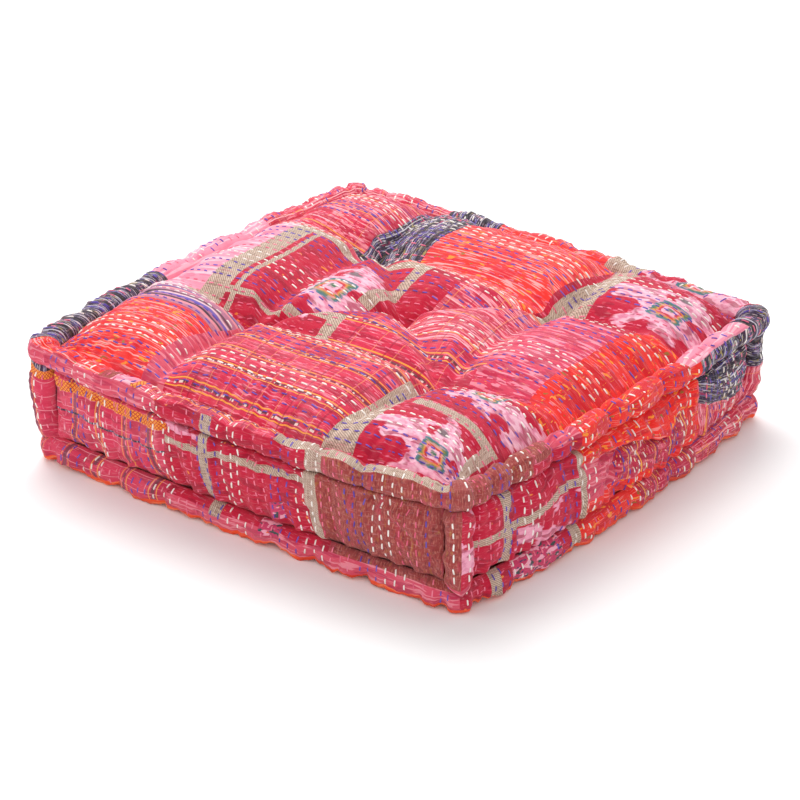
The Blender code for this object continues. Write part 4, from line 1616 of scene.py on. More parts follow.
@dataclass
class RunningStitches:
    """All the running stitches, one mesh of short threads for each colour."""

    stitch_pitch: float = 0.0101
    stitch_length: float = 0.0070
    thread_radius: float = 0.00058
    white_share: float = 1.2
    thread_flatness: float = 0.7
    lift: float = 0.00015
    sink: float = 0.0006
    sides: int = 4
    rings: dict[ThreadColour, list[np.ndarray]] = field(default_factory=dict)

    def sew(self, sheet: ClothSheet, plan: StitchPlan) -> None:
        """Sews the rows of one sheet.

        Args:
            sheet: The finished sheet.
            plan: Where its rows go.
        """
        rng = np.random.default_rng(plan.seed)
        low_across, high_across = (plan.low, plan.high) if plan.across_rise else (plan.start, plan.end)
        low_along, high_along = (plan.start, plan.end) if plan.across_rise else (plan.low, plan.high)
        first = math.ceil((low_across - plan.first_row) / plan.row_pitch)
        last = math.floor((high_across - plan.first_row) / plan.row_pitch)
        count = int((high_along - low_along) / self.stitch_pitch)
        for row in range(first, last + 1):
            colour = plan.colour_order[((row + 1) // 3) % 3]
            waver = wavy(rng, np.arange(count + 1) * self.stitch_pitch, 0.12) * 0.0009
            offset = rng.uniform(-0.5, 0.5) * self.stitch_pitch
            numbers = np.arange(count)
            begin = low_along + (numbers + 0.5) * self.stitch_pitch + offset + rng.uniform(-0.0008, 0.0008, count)
            length = self.stitch_length * rng.uniform(0.78, 1.12, count)
            kept = (begin > low_along) & (begin + length < high_along)
            begin, length = begin[kept], length[kept]
            across = plan.first_row + row * plan.row_pitch + waver[:-1][kept]
            tilt = rng.uniform(-0.0005, 0.0005, len(begin))
            self.add_row(sheet, plan, colour, begin, length, across, tilt)

    def add_row(
        self,
        sheet: ClothSheet,
        plan: StitchPlan,
        colour: ThreadColour,
        begin: np.ndarray,
        length: np.ndarray,
        across: np.ndarray,
        tilt: np.ndarray,
    ) -> None:
        """Adds one row of stitches.

        Args:
            sheet: The finished sheet.
            plan: Where its rows go.
            colour: The row's thread.
            begin: Where each stitch comes up, along the row.
            length: How long each stitch is.
            across: Where the row is.
            tilt: How far each stitch strays across the row.
        """
        shares = np.array([0.0, 0.22, 0.78, 1.0])
        along = begin[:, None] + length[:, None] * shares
        side = across[:, None] + tilt[:, None] * (shares - 0.5) * 2
        run, rise = (along, side) if plan.across_rise else (side, along)
        centre, normal = sheet.at(run, rise)
        heading = np.gradient(centre, axis=1)
        heading /= np.maximum(np.linalg.norm(heading, axis=-1, keepdims=True), 1e-12)
        sideways = np.cross(normal, heading)
        sideways /= np.maximum(np.linalg.norm(sideways, axis=-1, keepdims=True), 1e-12)
        heights = np.array([-self.sink, self.lift, self.lift, -self.sink])
        centre = centre + normal * heights[None, :, None]
        thickness = self.thread_radius * (self.white_share if colour is ThreadColour.WHITE else 1.0)
        radii = thickness * np.array([0.55, 1.0, 1.0, 0.55])
        rings = []
        for number in range(self.sides):
            angle = 2 * math.pi * (number + 0.5) / self.sides
            out = sideways * math.cos(angle) + normal * math.sin(angle) * self.thread_flatness
            rings.append(centre + out * radii[None, :, None] * math.sqrt(2))
        self.rings.setdefault(colour, []).append(np.stack(rings, 2))

    def build(self, wardrobe: Wardrobe) -> list[bpy.types.Object]:
        """Makes one joined mesh for each colour.

        Args:
            wardrobe: The materials.

        Returns:
            The new objects.
        """
        pieces = []
        for colour in ThreadColour:
            threads = np.concatenate(self.rings[colour])
            count, sections, sides = threads.shape[:3]
            faces = []
            for section in range(sections - 1):
                for number in range(sides):
                    after = (number + 1) % sides
                    low, high = section * sides, (section + 1) * sides
                    faces.append((low + number, low + after, high + after, high + number))
            faces.append(tuple(reversed(range(sides))))
            faces.append(tuple(range((sections - 1) * sides, sections * sides)))
            starts = np.arange(count)[:, None, None] * sections * sides
            corners = (np.array(faces)[None] + starts).reshape(-1, 4)
            mesh = bpy.data.meshes.new(f"stitches_{colour.value}")
            mesh.from_pydata(threads.reshape(-1, 3), [], corners)
            mesh.materials.append(wardrobe.threads[colour])
            mesh.shade_smooth()
            piece = bpy.data.objects.new(f"stitches_{colour.value}", mesh)
            piece.location.y = SET_BACK
            bpy.context.scene.collection.objects.link(piece)
            pieces.append(piece)
        return pieces


# Sub-assemblies


@dataclass
class SeatPanel:
    """The crowned and tufted top panel."""

    refinements: int = 1
    start_factor: int = 3
    tuck_inset: float = 0.0205
    tuck_height: float = 0.1050
    fold_height: float = 0.0013
    fold_count: int = 9
    gather_height: float = 0.0030
    gather_reach: float = 0.024
    quilt_depth: float = 0.00035
    first_row: float = 0.165
    fill: float = 0.75

    def upsampled(self, grid: np.ndarray, factor: int) -> np.ndarray:
        """The coarse grid with more points on smooth curves through it.

        Args:
            grid: The coarse grid.
            factor: How many steps each coarse step becomes.

        Returns:
            The finer grid.
        """
        for axis in (0, 1):
            values = np.moveaxis(grid, axis, 0)
            count = len(values)
            padded = np.concatenate([2 * values[:1] - values[1:2], values, 2 * values[-1:] - values[-2:-1]])
            at = np.linspace(0, count - 1, (count - 1) * factor + 1)
            first = np.minimum(np.floor(at).astype(int), count - 2)
            t = (at - first)[:, None, None]
            before, here, after, later = (padded[first + k] for k in range(4))
            slope_here, slope_after = (after - before) / 2, (later - here) / 2
            fine = (
                (2 * t**3 - 3 * t**2 + 1) * here
                + (t**3 - 2 * t**2 + t) * slope_here
                + (3 * t**2 - 2 * t**3) * after
                + (t**3 - t**2) * slope_after
            )
            grid = np.moveaxis(fine, 0, axis)
        return grid

    def folds(self, points: np.ndarray) -> np.ndarray:
        """Small folds that run out from the tufts, and gathers along the rim.

        Args:
            points: The panel's points.

        Returns:
            The height to add at each point.
        """
        x, y = points[..., 0], points[..., 1]
        height = np.zeros_like(x)
        rng = np.random.default_rng(5)
        for centre in TUFTS.values():
            away = np.hypot(x - centre[0], y - centre[1])
            angle = np.arctan2(y - centre[1], x - centre[0])
            phase = rng.uniform(0, 2 * np.pi)
            rays = np.cos(self.fold_count * angle + phase + 1.3 * np.sin(2 * angle + phase))
            rays += 0.6 * np.cos((self.fold_count + 4) * angle + 2 * phase)
            height += self.fold_height * rays * np.exp(-away / 0.030) * (1 - np.exp(-((away / 0.009) ** 2)))
        sides = (
            (x - x[:, :1], y),
            (x[:, -1:] - x, y),
            (y - y[:1, :], x),
            (y[-1:, :] - y, x),
        )
        for away, along in sides:
            waves = wavy(rng, along, 0.022, 5)
            height += self.gather_height * waves * np.exp(-((away / self.gather_reach) ** 1.5))
        return height

    def build(self) -> ClothSheet:
        """Lays out the panel, lets it swell, and presses in its rows of stitching.

        Returns:
            The finished sheet.
        """
        places = np.arange(4 * FORM.coarse_steps) / FORM.coarse_steps
        rim = FORM.edge(True, places, *[np.full(len(places), v) for v in TOP_SECTION.seat_ends(FORM.fit_gap)[0]])
        grid = self.upsampled(FORM.panel_grid(rim), self.start_factor)
        rise = FORM.rim_rise(grid, FORM.crown_rise)
        crown = rise * (FORM.crown - FORM.tuft_fall(grid[..., 0], grid[..., 1]))
        inner = np.zeros(grid.shape[:2], bool)
        inner[1:-1, 1:-1] = True
        grid[..., 2] += np.where(inner, crown + rise * self.folds(grid), 0)
        count = len(grid)
        nominal = np.linspace(-0.2320, 0.2320, count)
        sheet = ClothSheet("seat_panel", grid, nominal, nominal, TOP_PATCHES)
        held = np.zeros((count, count))
        held[:2] = held[-2:] = held[:, :2] = held[:, -2:] = 1.0
        for centre in TUFTS.values():
            away = np.hypot(grid[..., 0] - centre[0], grid[..., 1] - centre[1])
            held[away < 0.005] = 1.0
        Filling(pressure=4.0, slack=0.05, cap=0.0035).swell(sheet, held)
        for _ in range(self.refinements):
            sheet.points = refine(refine(sheet.points, 0), 1)
        count = len(sheet.points)
        sheet.run = sheet.rise = np.linspace(-0.2320, 0.2320, count)
        self.quilt(sheet)
        self.turn_edges_in(sheet)
        return sheet

    def quilt(self, sheet: ClothSheet) -> None:
        """Presses a shallow channel along every row of stitches."""
        rows = np.cos(2 * np.pi * (sheet.rise - self.first_row) / StitchPlan(True, 0.0).row_pitch)
        ripple = -self.quilt_depth * rows[:, None] * (1 + 0.5 * np.sin(2 * np.pi * sheet.run / 0.0096))[None]
        edge = np.minimum(np.arange(len(sheet.rise)), np.arange(len(sheet.rise))[::-1]).clip(0, 6) / 6
        sheet.points += sheet.normals() * (ripple * edge[:, None] * edge[None, :])[..., None]

    def turn_edges_in(self, sheet: ClothSheet) -> None:
        """Adds the edge of the panel that is turned in under the roll."""
        points = sheet.points
        count = len(points)
        centre = points.mean((0, 1))
        wide = np.empty((count + 2, count + 2, 3))
        wide[1:-1, 1:-1] = points
        wide[0, 1:-1], wide[-1, 1:-1] = points[0], points[-1]
        wide[1:-1, 0], wide[1:-1, -1] = points[:, 0], points[:, -1]
        for row, column in ((0, 0), (0, -1), (-1, 0), (-1, -1)):
            wide[row, column] = points[row, column]
        rim = np.ones((count + 2, count + 2), bool)
        rim[1:-1, 1:-1] = False
        spread = self.tuck_spread()
        for axis in (0, 1):
            low, high = (0, slice(None)), (-1, slice(None))
            if axis:
                low, high = (slice(None), 0), (slice(None), -1)
            wide[low][:, 1 - axis] -= spread
            wide[high][:, 1 - axis] += spread
        wide[rim, 2] -= spread
        sheet.points = wide
        step = sheet.run[1] - sheet.run[0]
        sheet.run = sheet.rise = np.concatenate([[sheet.run[0] - step], sheet.run, [sheet.run[-1] + step]])
        LOG.debug("seat panel centre %s", centre)

    def tuck_spread(self) -> float:
        """How far out and down the turned-in edge goes."""
        inner = TOP_SECTION.seat_ends(FORM.fit_gap)[0]
        return float(inner[0]) - self.tuck_inset


@dataclass
class BasePanel:
    """The plain panel that the cushion stands on."""

    factor: int = 3
    fill: float = 0.75

    def build(self) -> ClothSheet:
        """Lays out the base, which is flat between its tufts and its rim.

        Returns:
            The finished sheet, facing down.
        """
        places = np.arange(4 * FORM.coarse_steps) / FORM.coarse_steps
        inner = BASE_SECTION.seat_ends(FORM.fit_gap)[0]
        rim = FORM.edge(False, places, *[np.full(len(places), value) for value in inner])
        grid = SeatPanel().upsampled(FORM.panel_grid(rim), self.factor)
        x, y = grid[..., 0], grid[..., 1]
        rise = FORM.rim_rise(grid, FORM.base_edge_reach)
        dimple = np.zeros_like(x)
        for centre in TUFTS.values():
            away = np.hypot(x - centre[0], y - centre[1])
            dimple = np.maximum(dimple, FORM.base_tuft_rise * np.exp(-((away / FORM.tuft_reach) ** 2)))
        crease = FORM.base_crease_share * (FORM.tuft_fall(x, y) - FORM.base_crease_floor)
        lifted = np.maximum(dimple, crease) * rise + grid[..., 2] * (1 - rise) - FORM.base_flat_depth
        inside = np.zeros(x.shape, bool)
        inside[1:-1, 1:-1] = True
        grid[..., 2] = np.where(inside, lifted.clip(0), grid[..., 2])
        nominal = np.linspace(-0.2290, 0.2290, len(grid))
        return ClothSheet("base_panel", grid[:, ::-1], nominal, nominal, BASE_PATCHES)


@dataclass(frozen=True)
class WallFold:
    """A fold in a wall: the cloth above the line hangs over it as a lip, and the cloth under it is pressed in."""

    start: tuple[float, float]
    end: tuple[float, float]
    depth: float
    overhang: float = 0.0
    reach: float = 0.0045


RIGHT_FOLDS = (
    WallFold((-82, 87), (-40, 83), 5.5, 3.0),
    WallFold((-40, 83), (-5, 81), 10.0, 5.0),
    WallFold((-5, 81), (28, 73), 12.5, 6.5),
    WallFold((28, 73), (57, 68), 13.0, 8.0),
    WallFold((57, 68), (74, 77), 11.0, 6.5),
    WallFold((74, 77), (81, 92), 6.0),
    WallFold((-23, 80), (-36, 50), 9.0, 0.0, 0.006),
    WallFold((-84, 62), (-60, 48), 2.5),
    WallFold((106, 96), (114, 40), 2.5),
)
FRONT_FOLDS = (
    WallFold((-206, 92), (-150, 88), 2.5, 1.0),
    WallFold((-150, 36), (-84, 30), 3.0, 1.0),
    WallFold((-84, 88), (-80, 34), 2.5),
    WallFold((20, 92), (84, 86), 3.0, 1.2),
    WallFold((90, 60), (112, 34), 2.5, 1.0),
    WallFold((150, 88), (214, 92), 2.5, 1.0),
)


@dataclass
class WallPanel:
    """One side wall, from one corner roll to the next."""

    side: int
    name: str
    patches: tuple[Patch, ...]
    first_row: float
    drift: Drift
    folds: tuple[WallFold, ...] = ()
    columns: int = 121
    rows: int = 21
    tuck: float = 0.005
    quilt_depth: float = 0.00035
    gather_depth: float = 0.0036
    fold_drop: float = 0.0034
    lip_rise: float = 0.0062
    lip_reach: float = 0.0062
    lip_sag: float = 0.85
    fill: float = 0.7

    def build(self) -> ClothSheet:
        """Lays out the wall, lets it swell, and presses in its rows of stitching.

        Returns:
            The finished sheet.
        """
        along = np.linspace(0, 1, self.columns)[None, :]
        share = np.linspace(1, 0, self.rows)[:, None]
        along, share = np.broadcast_arrays(along, share)
        points = FORM.wall_points(self.side, along, share)
        rng = np.random.default_rng(60 + self.side)
        puckers = wavy(rng, along * FORM.side, 0.019, 5) * np.exp(-((share / 0.24) ** 1.5))
        puckers += wavy(rng, along * FORM.side, 0.022, 5) * np.exp(-(((1 - share) / 0.24) ** 1.5))
        span = FORM.side * (FORM.coarse_steps - 2) / FORM.coarse_steps / 2
        low = BASE_SECTION.seat_ends(FORM.fit_gap)[1][1]
        high = TOP_SECTION.seat_ends(FORM.fit_gap)[1][1]
        sheet = ClothSheet(self.name, points, np.zeros(0), np.zeros(0), self.patches)
        fade = np.sin(np.pi * share) ** 0.35
        sheet.points = points + sheet.normals() * (self.gather_depth * puckers * fade)[..., None]
        held = np.zeros((self.rows, self.columns))
        held[:1] = held[-1:] = held[:, :1] = held[:, -1:] = 1.0
        Filling(pressure=3.0, slack=0.05, cap=0.0030).swell(sheet, held)
        sheet.points = refine(refine(refine(sheet.points, 0), 0), 1)
        rows, columns = sheet.points.shape[:2]
        sheet.run = np.linspace(-span, span, columns)
        sheet.rise = np.linspace(low, high, rows)
        fade = np.sin(np.pi * np.linspace(0, 1, rows))[:, None] ** 0.35
        lift, dent = self.folded(*np.meshgrid(sheet.run, sheet.rise))
        sheet.points = sheet.points + sheet.normals() * ((lift - dent) * fade)[..., None]
        sheet.points[..., 2] -= lift * fade * self.lip_sag
        self.quilt(sheet)
        self.turn_edges_in(sheet)
        return sheet

    def folded(self, run: np.ndarray, rise: np.ndarray) -> tuple[np.ndarray, np.ndarray]:
        """The relief of the wall's folds.

        Args:
            run: Positions along the wall.
            rise: Nominal heights.

        Returns:
            How far each point stands out, and how far it is pressed in.
        """
        dent = np.zeros_like(run)
        lift = np.zeros_like(run)
        for fold in self.folds:
            start = (fold.start[0] * MM, fold.start[1] * MM)
            end = (fold.end[0] * MM, fold.end[1] * MM)
            under = rise + self.fold_drop if fold.overhang else rise
            away, _ = distance_to_segment(run, under, start, end)
            dent = np.maximum(dent, fold.depth * MM * np.exp(-((away / fold.reach) ** 1.5)))
            away, _ = distance_to_segment(run, rise - self.lip_rise, start, end)
            lift = np.maximum(lift, fold.overhang * MM * np.exp(-((away / self.lip_reach) ** 2)))
        return lift, dent

    def quilt(self, sheet: ClothSheet) -> None:
        """Presses a shallow channel along every upright row of stitches."""
        rows = np.cos(2 * np.pi * (sheet.run - self.first_row) / StitchPlan(True, 0.0).row_pitch)
        ripple = -self.quilt_depth * rows[None, :] * (1 + 0.5 * np.sin(2 * np.pi * sheet.rise / 0.0096))[:, None]
        sheet.points += sheet.normals() * ripple[..., None]

    def turn_edges_in(self, sheet: ClothSheet) -> None:
        """Adds the edges that are turned in behind the rolls."""
        points = sheet.points
        inward = -np.array([*FORM.turned(np.array(0.0), np.array(-1.0), np.array(self.side)), 0.0])
        up = np.array([0.0, 0.0, 1.0])
        below = points[:1] + (inward - up) * self.tuck
        above = points[-1:] + (inward + up) * self.tuck
        tall = np.concatenate([below, points, above])
        first = np.append(-FORM.corner_direction(self.side), 0.0)
        second = np.append(-FORM.corner_direction(self.side + 1), 0.0)
        before = tall[:, :1] + first * self.tuck
        after = tall[:, -1:] + second * self.tuck
        sheet.points = np.concatenate([before, tall, after], 1)
        run_step, rise_step = sheet.run[1] - sheet.run[0], sheet.rise[1] - sheet.rise[0]
        sheet.run = np.concatenate([[sheet.run[0] - run_step], sheet.run, [sheet.run[-1] + run_step]])
        sheet.rise = np.concatenate([[sheet.rise[0] - rise_step], sheet.rise, [sheet.rise[-1] + rise_step]])


@dataclass
class EdgeRoll:
    """A rolled and hand-sewn edge all round the cushion."""

    name: str
    section: RollSection
    top: bool
    seed: int
    patches: tuple[Patch, ...]
    gather_depths: tuple[float, ...]
    fatness: tuple[float, ...]
    squeeze_shares: tuple[float, ...] = (1.0, 1.0, 0.6, 0.55)
    ridge_heights: tuple[float, ...] = (0.0030, 0.0022, 0.0020, 0.0020)
    columns: int = 800
    round_steps: int = 34
    seat_steps: int = 4
    gather_steps: tuple[int, ...] = (2, 3, 3, 4)
    squeeze_spread: float = 0.6
    ridge_width: float = 0.034
    sway: float = 0.0013
    corner_cloth: float = 0.022
    knot_squeeze: float = 0.28
    knot_swell: float = 0.08
    quilt_depth: float = 0.00035
    fill: float = 0.6

    @property
    def girth(self) -> float:
        """The length round the roll, from its outer seam to its inner one."""
        return float(abs(np.ptp(self.section.angles(np.array([0.0, 1.0])))) * self.section.radius)

    def true_run(self, place: np.ndarray) -> np.ndarray:
        """How far round the cushion each place is, as each corner takes less cloth than its share of places."""
        side = np.floor(place)
        from_middle = (place - side - 0.5) / (0.5 - FORM.corner_share)
        into_corner = (np.abs(from_middle) - 1).clip(0) * (0.5 - FORM.corner_share) / FORM.corner_share
        straight = np.clip(from_middle, -1, 1) * (FORM.half - self.corner_cloth)
        return (side + 0.5) * FORM.side + straight + np.sign(from_middle) * into_corner * self.corner_cloth

    def by_side(self, values: tuple[float, ...], place: np.ndarray) -> np.ndarray:
        """One value for each side, blended near the corners."""
        at = np.mod(place - 0.5, 4)
        side = np.floor(at).astype(int)
        near_corner = np.clip((at - side - 0.5) / 0.10 + 0.5, 0, 1)
        table = np.array(values)
        return table[side] * (1 - near_corner) + table[(side + 1) % 4] * near_corner

    def squeeze(self, place: np.ndarray) -> np.ndarray:
        """How strongly the gathering stitches pinch the roll.

        Args:
            place: Places round the cushion.

        Returns:
            The pinch at each place, from 0 to nearly 1.
        """
        n = FORM.coarse_steps
        rng = np.random.default_rng(self.seed)
        squeeze = np.zeros_like(place)
        column = int(rng.choice(self.gather_steps))
        while column < 4 * n:
            depth = self.gather_depths[column // n] * rng.uniform(0.7, 1.2)
            away = np.abs(place - column / n)
            away = np.minimum(away, 4 - away) * FORM.side
            valley = np.exp(-((away / 0.0042) ** 1.6)) + 0.30 * np.exp(-((away / 0.011) ** 2))
            squeeze = np.maximum(squeeze, depth * valley)
            column += int(rng.choice(self.gather_steps))
        beside_corner = np.exp(-(((np.abs(place - np.round(place)) - 0.085) / 0.012) ** 2))
        squeeze = squeeze * self.by_side(self.squeeze_shares, place) * self.away_from_corners(place)
        return np.maximum(squeeze, self.knot_squeeze * beside_corner)

    def away_from_corners(self, place: np.ndarray) -> np.ndarray:
        """Rises from 0 at the corners to 1 on the sides."""
        share = ((np.abs(place - np.round(place)) - 0.05) / 0.05).clip(0, 1)
        return share**2 * (3 - 2 * share)

    def build(self) -> ClothSheet:
        """Lays the roll's sections along the edge.

        Returns:
            The finished sheet, closed both ways.
        """
        place = np.arange(self.columns) * 4 / self.columns
        along = self.true_run(place)
        calm = self.away_from_corners(place)[None, :]
        rng = np.random.default_rng(self.seed + 40)
        meander = 0.5 + 0.028 * wavy(rng, along, 0.060, 4) * calm[0]
        share = np.linspace(0, 1, self.round_steps)
        shares, pinch = np.meshgrid(share, self.squeeze(place), indexing="ij")
        bow = np.sin(np.pi * shares)
        swell = 1 - pinch * bow**self.squeeze_spread
        wrinkle = 0.014 * wavy(rng, along, 0.012, 5)[None, :]
        wrinkle = wrinkle + 0.040 * wavy(rng, along, 0.045, 4)[None, :]
        twist = along[None, :] + 0.010 * np.sin(2 * np.pi * shares)
        wrinkle = (wrinkle + 0.022 * wavy(rng, twist, 0.019, 5)) * bow * calm
        fat = self.by_side(self.fatness, place)[None, :] * (1 - pinch) * bow
        radius = self.section.radius * (swell + fat + wrinkle + self.knot_swell * (1 - calm) * bow)
        ridge = self.by_side(self.ridge_heights, place) * (1 + 0.35 * wavy(rng, along, 0.030, 4) * calm[0])
        from_ridge = np.abs(shares - meander[None, :])
        radius += ridge[None, :] * np.exp(-((from_ridge / self.ridge_width) ** 1.2)) * (1 - pinch)
        rows = np.cos(2 * np.pi * along / StitchPlan(True, 0.0).row_pitch)
        radius -= self.quilt_depth * rows[None, :] * bow * calm
        angle = self.section.angles(shares)
        inset = self.section.middle_inset + radius * np.cos(angle)
        height = self.section.middle_height + radius * np.sin(angle)
        inset += self.sway * wavy(rng, along, 0.075, 4)[None, :] * bow * calm
        height += self.sway * wavy(rng, along, 0.065, 4)[None, :] * bow * calm
        back = np.linspace(0, 1, self.seat_steps + 1)[1:-1, None]
        inset = np.concatenate([inset, inset[-1:] * (1 - back) + inset[:1] * back])
        height = np.concatenate([height, height[-1:] * (1 - back) + height[:1] * back])
        points = FORM.edge(self.top, np.broadcast_to(place, inset.shape), inset, height)
        points[..., 2] = points[..., 2].clip(0)
        if self.top:
            points = np.roll(points[::-1], self.round_steps - len(points), 0)
        chord = 2 * math.sqrt(self.section.radius**2 - self.section.seat_offset**2)
        hidden = self.girth + chord * np.arange(1, self.seat_steps + 1) / self.seat_steps
        rise = np.concatenate([share * self.girth, hidden])
        run = np.append(along, 4 * FORM.side)
        return ClothSheet(self.name, points, run, rise, self.patches, True, True, 4)


@dataclass
class CornerRoll:
    """An upright roll at one corner."""

    corner: int
    name: str
    patches: tuple[Patch, ...]
    unevenness: float
    around: int = 44
    levels: int = 60
    coarse_levels: int = 8
    ridge_height: float = 0.0022
    reach_in: float = 0.0012
    end_round: float = 0.85
    foot_taper: float = 0.17
    top_taper: float = 0.12
    end_share: float = 0.66
    foot_lean: float = 0.0
    lean_share: float = 0.62
    footprint: float = 0.07
    fill: float = 0.6

    def build(self) -> ClothSheet:
        """Lays the roll against the body's corner, between the two edge rolls.

        Returns:
            The finished sheet, closed round.
        """
        middle, outward, _ = FORM.corner_seat(self.corner)
        sideways = np.array([-outward[1], outward[0]])
        near = self.corner + np.linspace(-self.footprint, self.footprint, 15)
        rise_top, rise_foot = FORM.along_table(near, 2).min(), FORM.along_table(near, 4).max()
        rng = np.random.default_rng(20 + self.corner)
        swells = 1 - rng.uniform(0, self.unevenness, self.coarse_levels + 1)
        level = np.linspace(0, self.coarse_levels, self.levels)
        first = np.minimum(level.astype(int), self.coarse_levels - 1)
        blend = (1 - np.cos(np.pi * (level - first))) / 2
        swell = swells[first] * (1 - blend) + swells[first + 1] * blend
        angle = np.linspace(-math.pi, math.pi, self.around, endpoint=False)
        swell, angle = np.meshgrid(swell, angle, indexing="ij")
        up = np.linspace(0, 1, self.levels)[:, None]
        level_height = 0.075 * up
        wrinkle = 0.030 * wavy(rng, level_height + 0.004 * np.sin(angle), 0.014, 5)
        from_end = np.minimum(up / self.foot_taper, (1 - up) / self.top_taper).clip(0, 1)
        taper = self.end_share + (1 - self.end_share) * np.sqrt(1 - (1 - from_end) ** 2)
        radius = FORM.corner_roll_radius * (swell + wrinkle) * taper
        meander = 0.10 * wavy(rng, level_height, 0.045, 3)
        radius += self.ridge_height * np.exp(-((np.abs(angle - meander) / 0.13) ** 1.2))
        out = np.maximum(radius * np.cos(angle), -FORM.corner_seat_offset)
        lean = self.foot_lean * (1 - up / self.lean_share).clip(0) ** 1.6
        plan = middle + outward * (out - lean)[..., None] + sideways * (radius * np.sin(angle))[..., None]
        inset = FORM.corner_roll_radius - out
        top = rise_top + self.reach_in + self.end_height(TOP_SECTION, inset)
        foot = rise_foot - self.reach_in + self.end_height(BASE_SECTION, inset)
        height = foot * (1 - up) + top * up
        points = np.concatenate([plan, height[..., None]], -1)
        run = np.linspace(0, 2 * math.pi * FORM.corner_roll_radius, self.around + 1)
        rise = np.linspace(0.022, 0.100, self.levels)
        return ClothSheet(self.name, points, run, rise, self.patches, True, False)

    def end_height(self, section: RollSection, inset: np.ndarray) -> np.ndarray:
        """Where the roll meets the round of an edge roll, this far in from the outline."""
        away = np.clip(section.middle_inset - inset, -self.end_round * section.radius, self.end_round * section.radius)
        return section.middle_height + section.seat_side * np.sqrt(section.radius**2 - away**2)


@dataclass
class Studio:
    """The pale floor, the soft lights and the camera at the photograph's viewing angle."""

    azimuth: float = math.radians(36.805)
    elevation: float = math.radians(26.134)
    roll: float = math.radians(0.327)
    distance: float = 3.037
    target: tuple[float, float, float] = (0.0227, -0.0315, 0.06)
    lens: float = 147.10
    sensor: float = 36.0

    def build(self) -> None:
        """Builds the camera, the floor, the lights and the surrounding light."""
        self.build_camera()
        self.build_floor()
        self.build_lights()

    def build_camera(self) -> None:
        """Places the camera."""
        azimuth, elevation = self.azimuth, self.elevation
        back = Vector(
            (
                math.sin(azimuth) * math.cos(elevation),
                -math.cos(azimuth) * math.cos(elevation),
                math.sin(elevation),
            )
        )
        right = Vector((math.cos(azimuth), math.sin(azimuth), 0.0))
        up = back.cross(right)
        cos_roll, sin_roll = math.cos(self.roll), math.sin(self.roll)
        right, up = right * cos_roll + up * sin_roll, up * cos_roll - right * sin_roll
        data = bpy.data.cameras.new("camera")
        data.lens = self.lens
        data.sensor_width = self.sensor
        data.clip_end = 50.0
        camera = bpy.data.objects.new("camera", data)
        place = Vector(self.target) + back * self.distance
        turn = Matrix((right, up, back)).transposed().to_4x4()
        camera.matrix_world = Matrix.Translation(place) @ turn
        bpy.context.scene.collection.objects.link(camera)
        bpy.context.scene.camera = camera

    def build_floor(self) -> None:
        """Makes the pale floor."""
        mesh = bpy.data.meshes.new("floor")
        reach = 12.0
        corners = [(-reach, -reach, 0), (reach, -reach, 0), (reach, reach, 0), (-reach, reach, 0)]
        mesh.from_pydata(corners, [], [(0, 1, 2, 3)])
        material = bpy.data.materials.new("floor_paint")
        material.use_nodes = True
        shader = material.node_tree.nodes["Principled BSDF"]
        shader.inputs["Base Color"].default_value = (0.93, 0.93, 0.93, 1.0)
        shader.inputs["Roughness"].default_value = 0.9
        mesh.materials.append(material)
        floor = bpy.data.objects.new("floor", mesh)
        floor.location.z = -0.0002
        bpy.context.scene.collection.objects.link(floor)

    def build_lights(self) -> None:
        """Hangs the soft lights."""
        lamps = (
            # place, size, power
            ((-1.6, 1.4, 3.2), 3.0, 134.0),
            ((2.6, -2.8, 2.4), 2.4, 33.0),
            ((-2.2, -2.6, 2.0), 2.4, 20.0),
        )
        for number, (place, size, power) in enumerate(lamps):
            data = bpy.data.lights.new(f"softbox_{number}", "AREA")
            data.shape = "SQUARE"
            data.size = size
            data.energy = power
            lamp = bpy.data.objects.new(f"softbox_{number}", data)
            lamp.location = place
            aim = Vector((0.0, 0.0, 0.06)) - Vector(place)
            lamp.rotation_euler = aim.to_track_quat("-Z", "Y").to_euler()
            bpy.context.scene.collection.objects.link(lamp)
        world = bpy.data.worlds.new("studio")
        world.use_nodes = True
        world.node_tree.nodes["Background"].inputs["Color"].default_value = (1.0, 1.0, 1.0, 1.0)
        world.node_tree.nodes["Background"].inputs["Strength"].default_value = 0.66
        bpy.context.scene.world = world
        bpy.context.scene.view_settings.view_transform = "Standard"


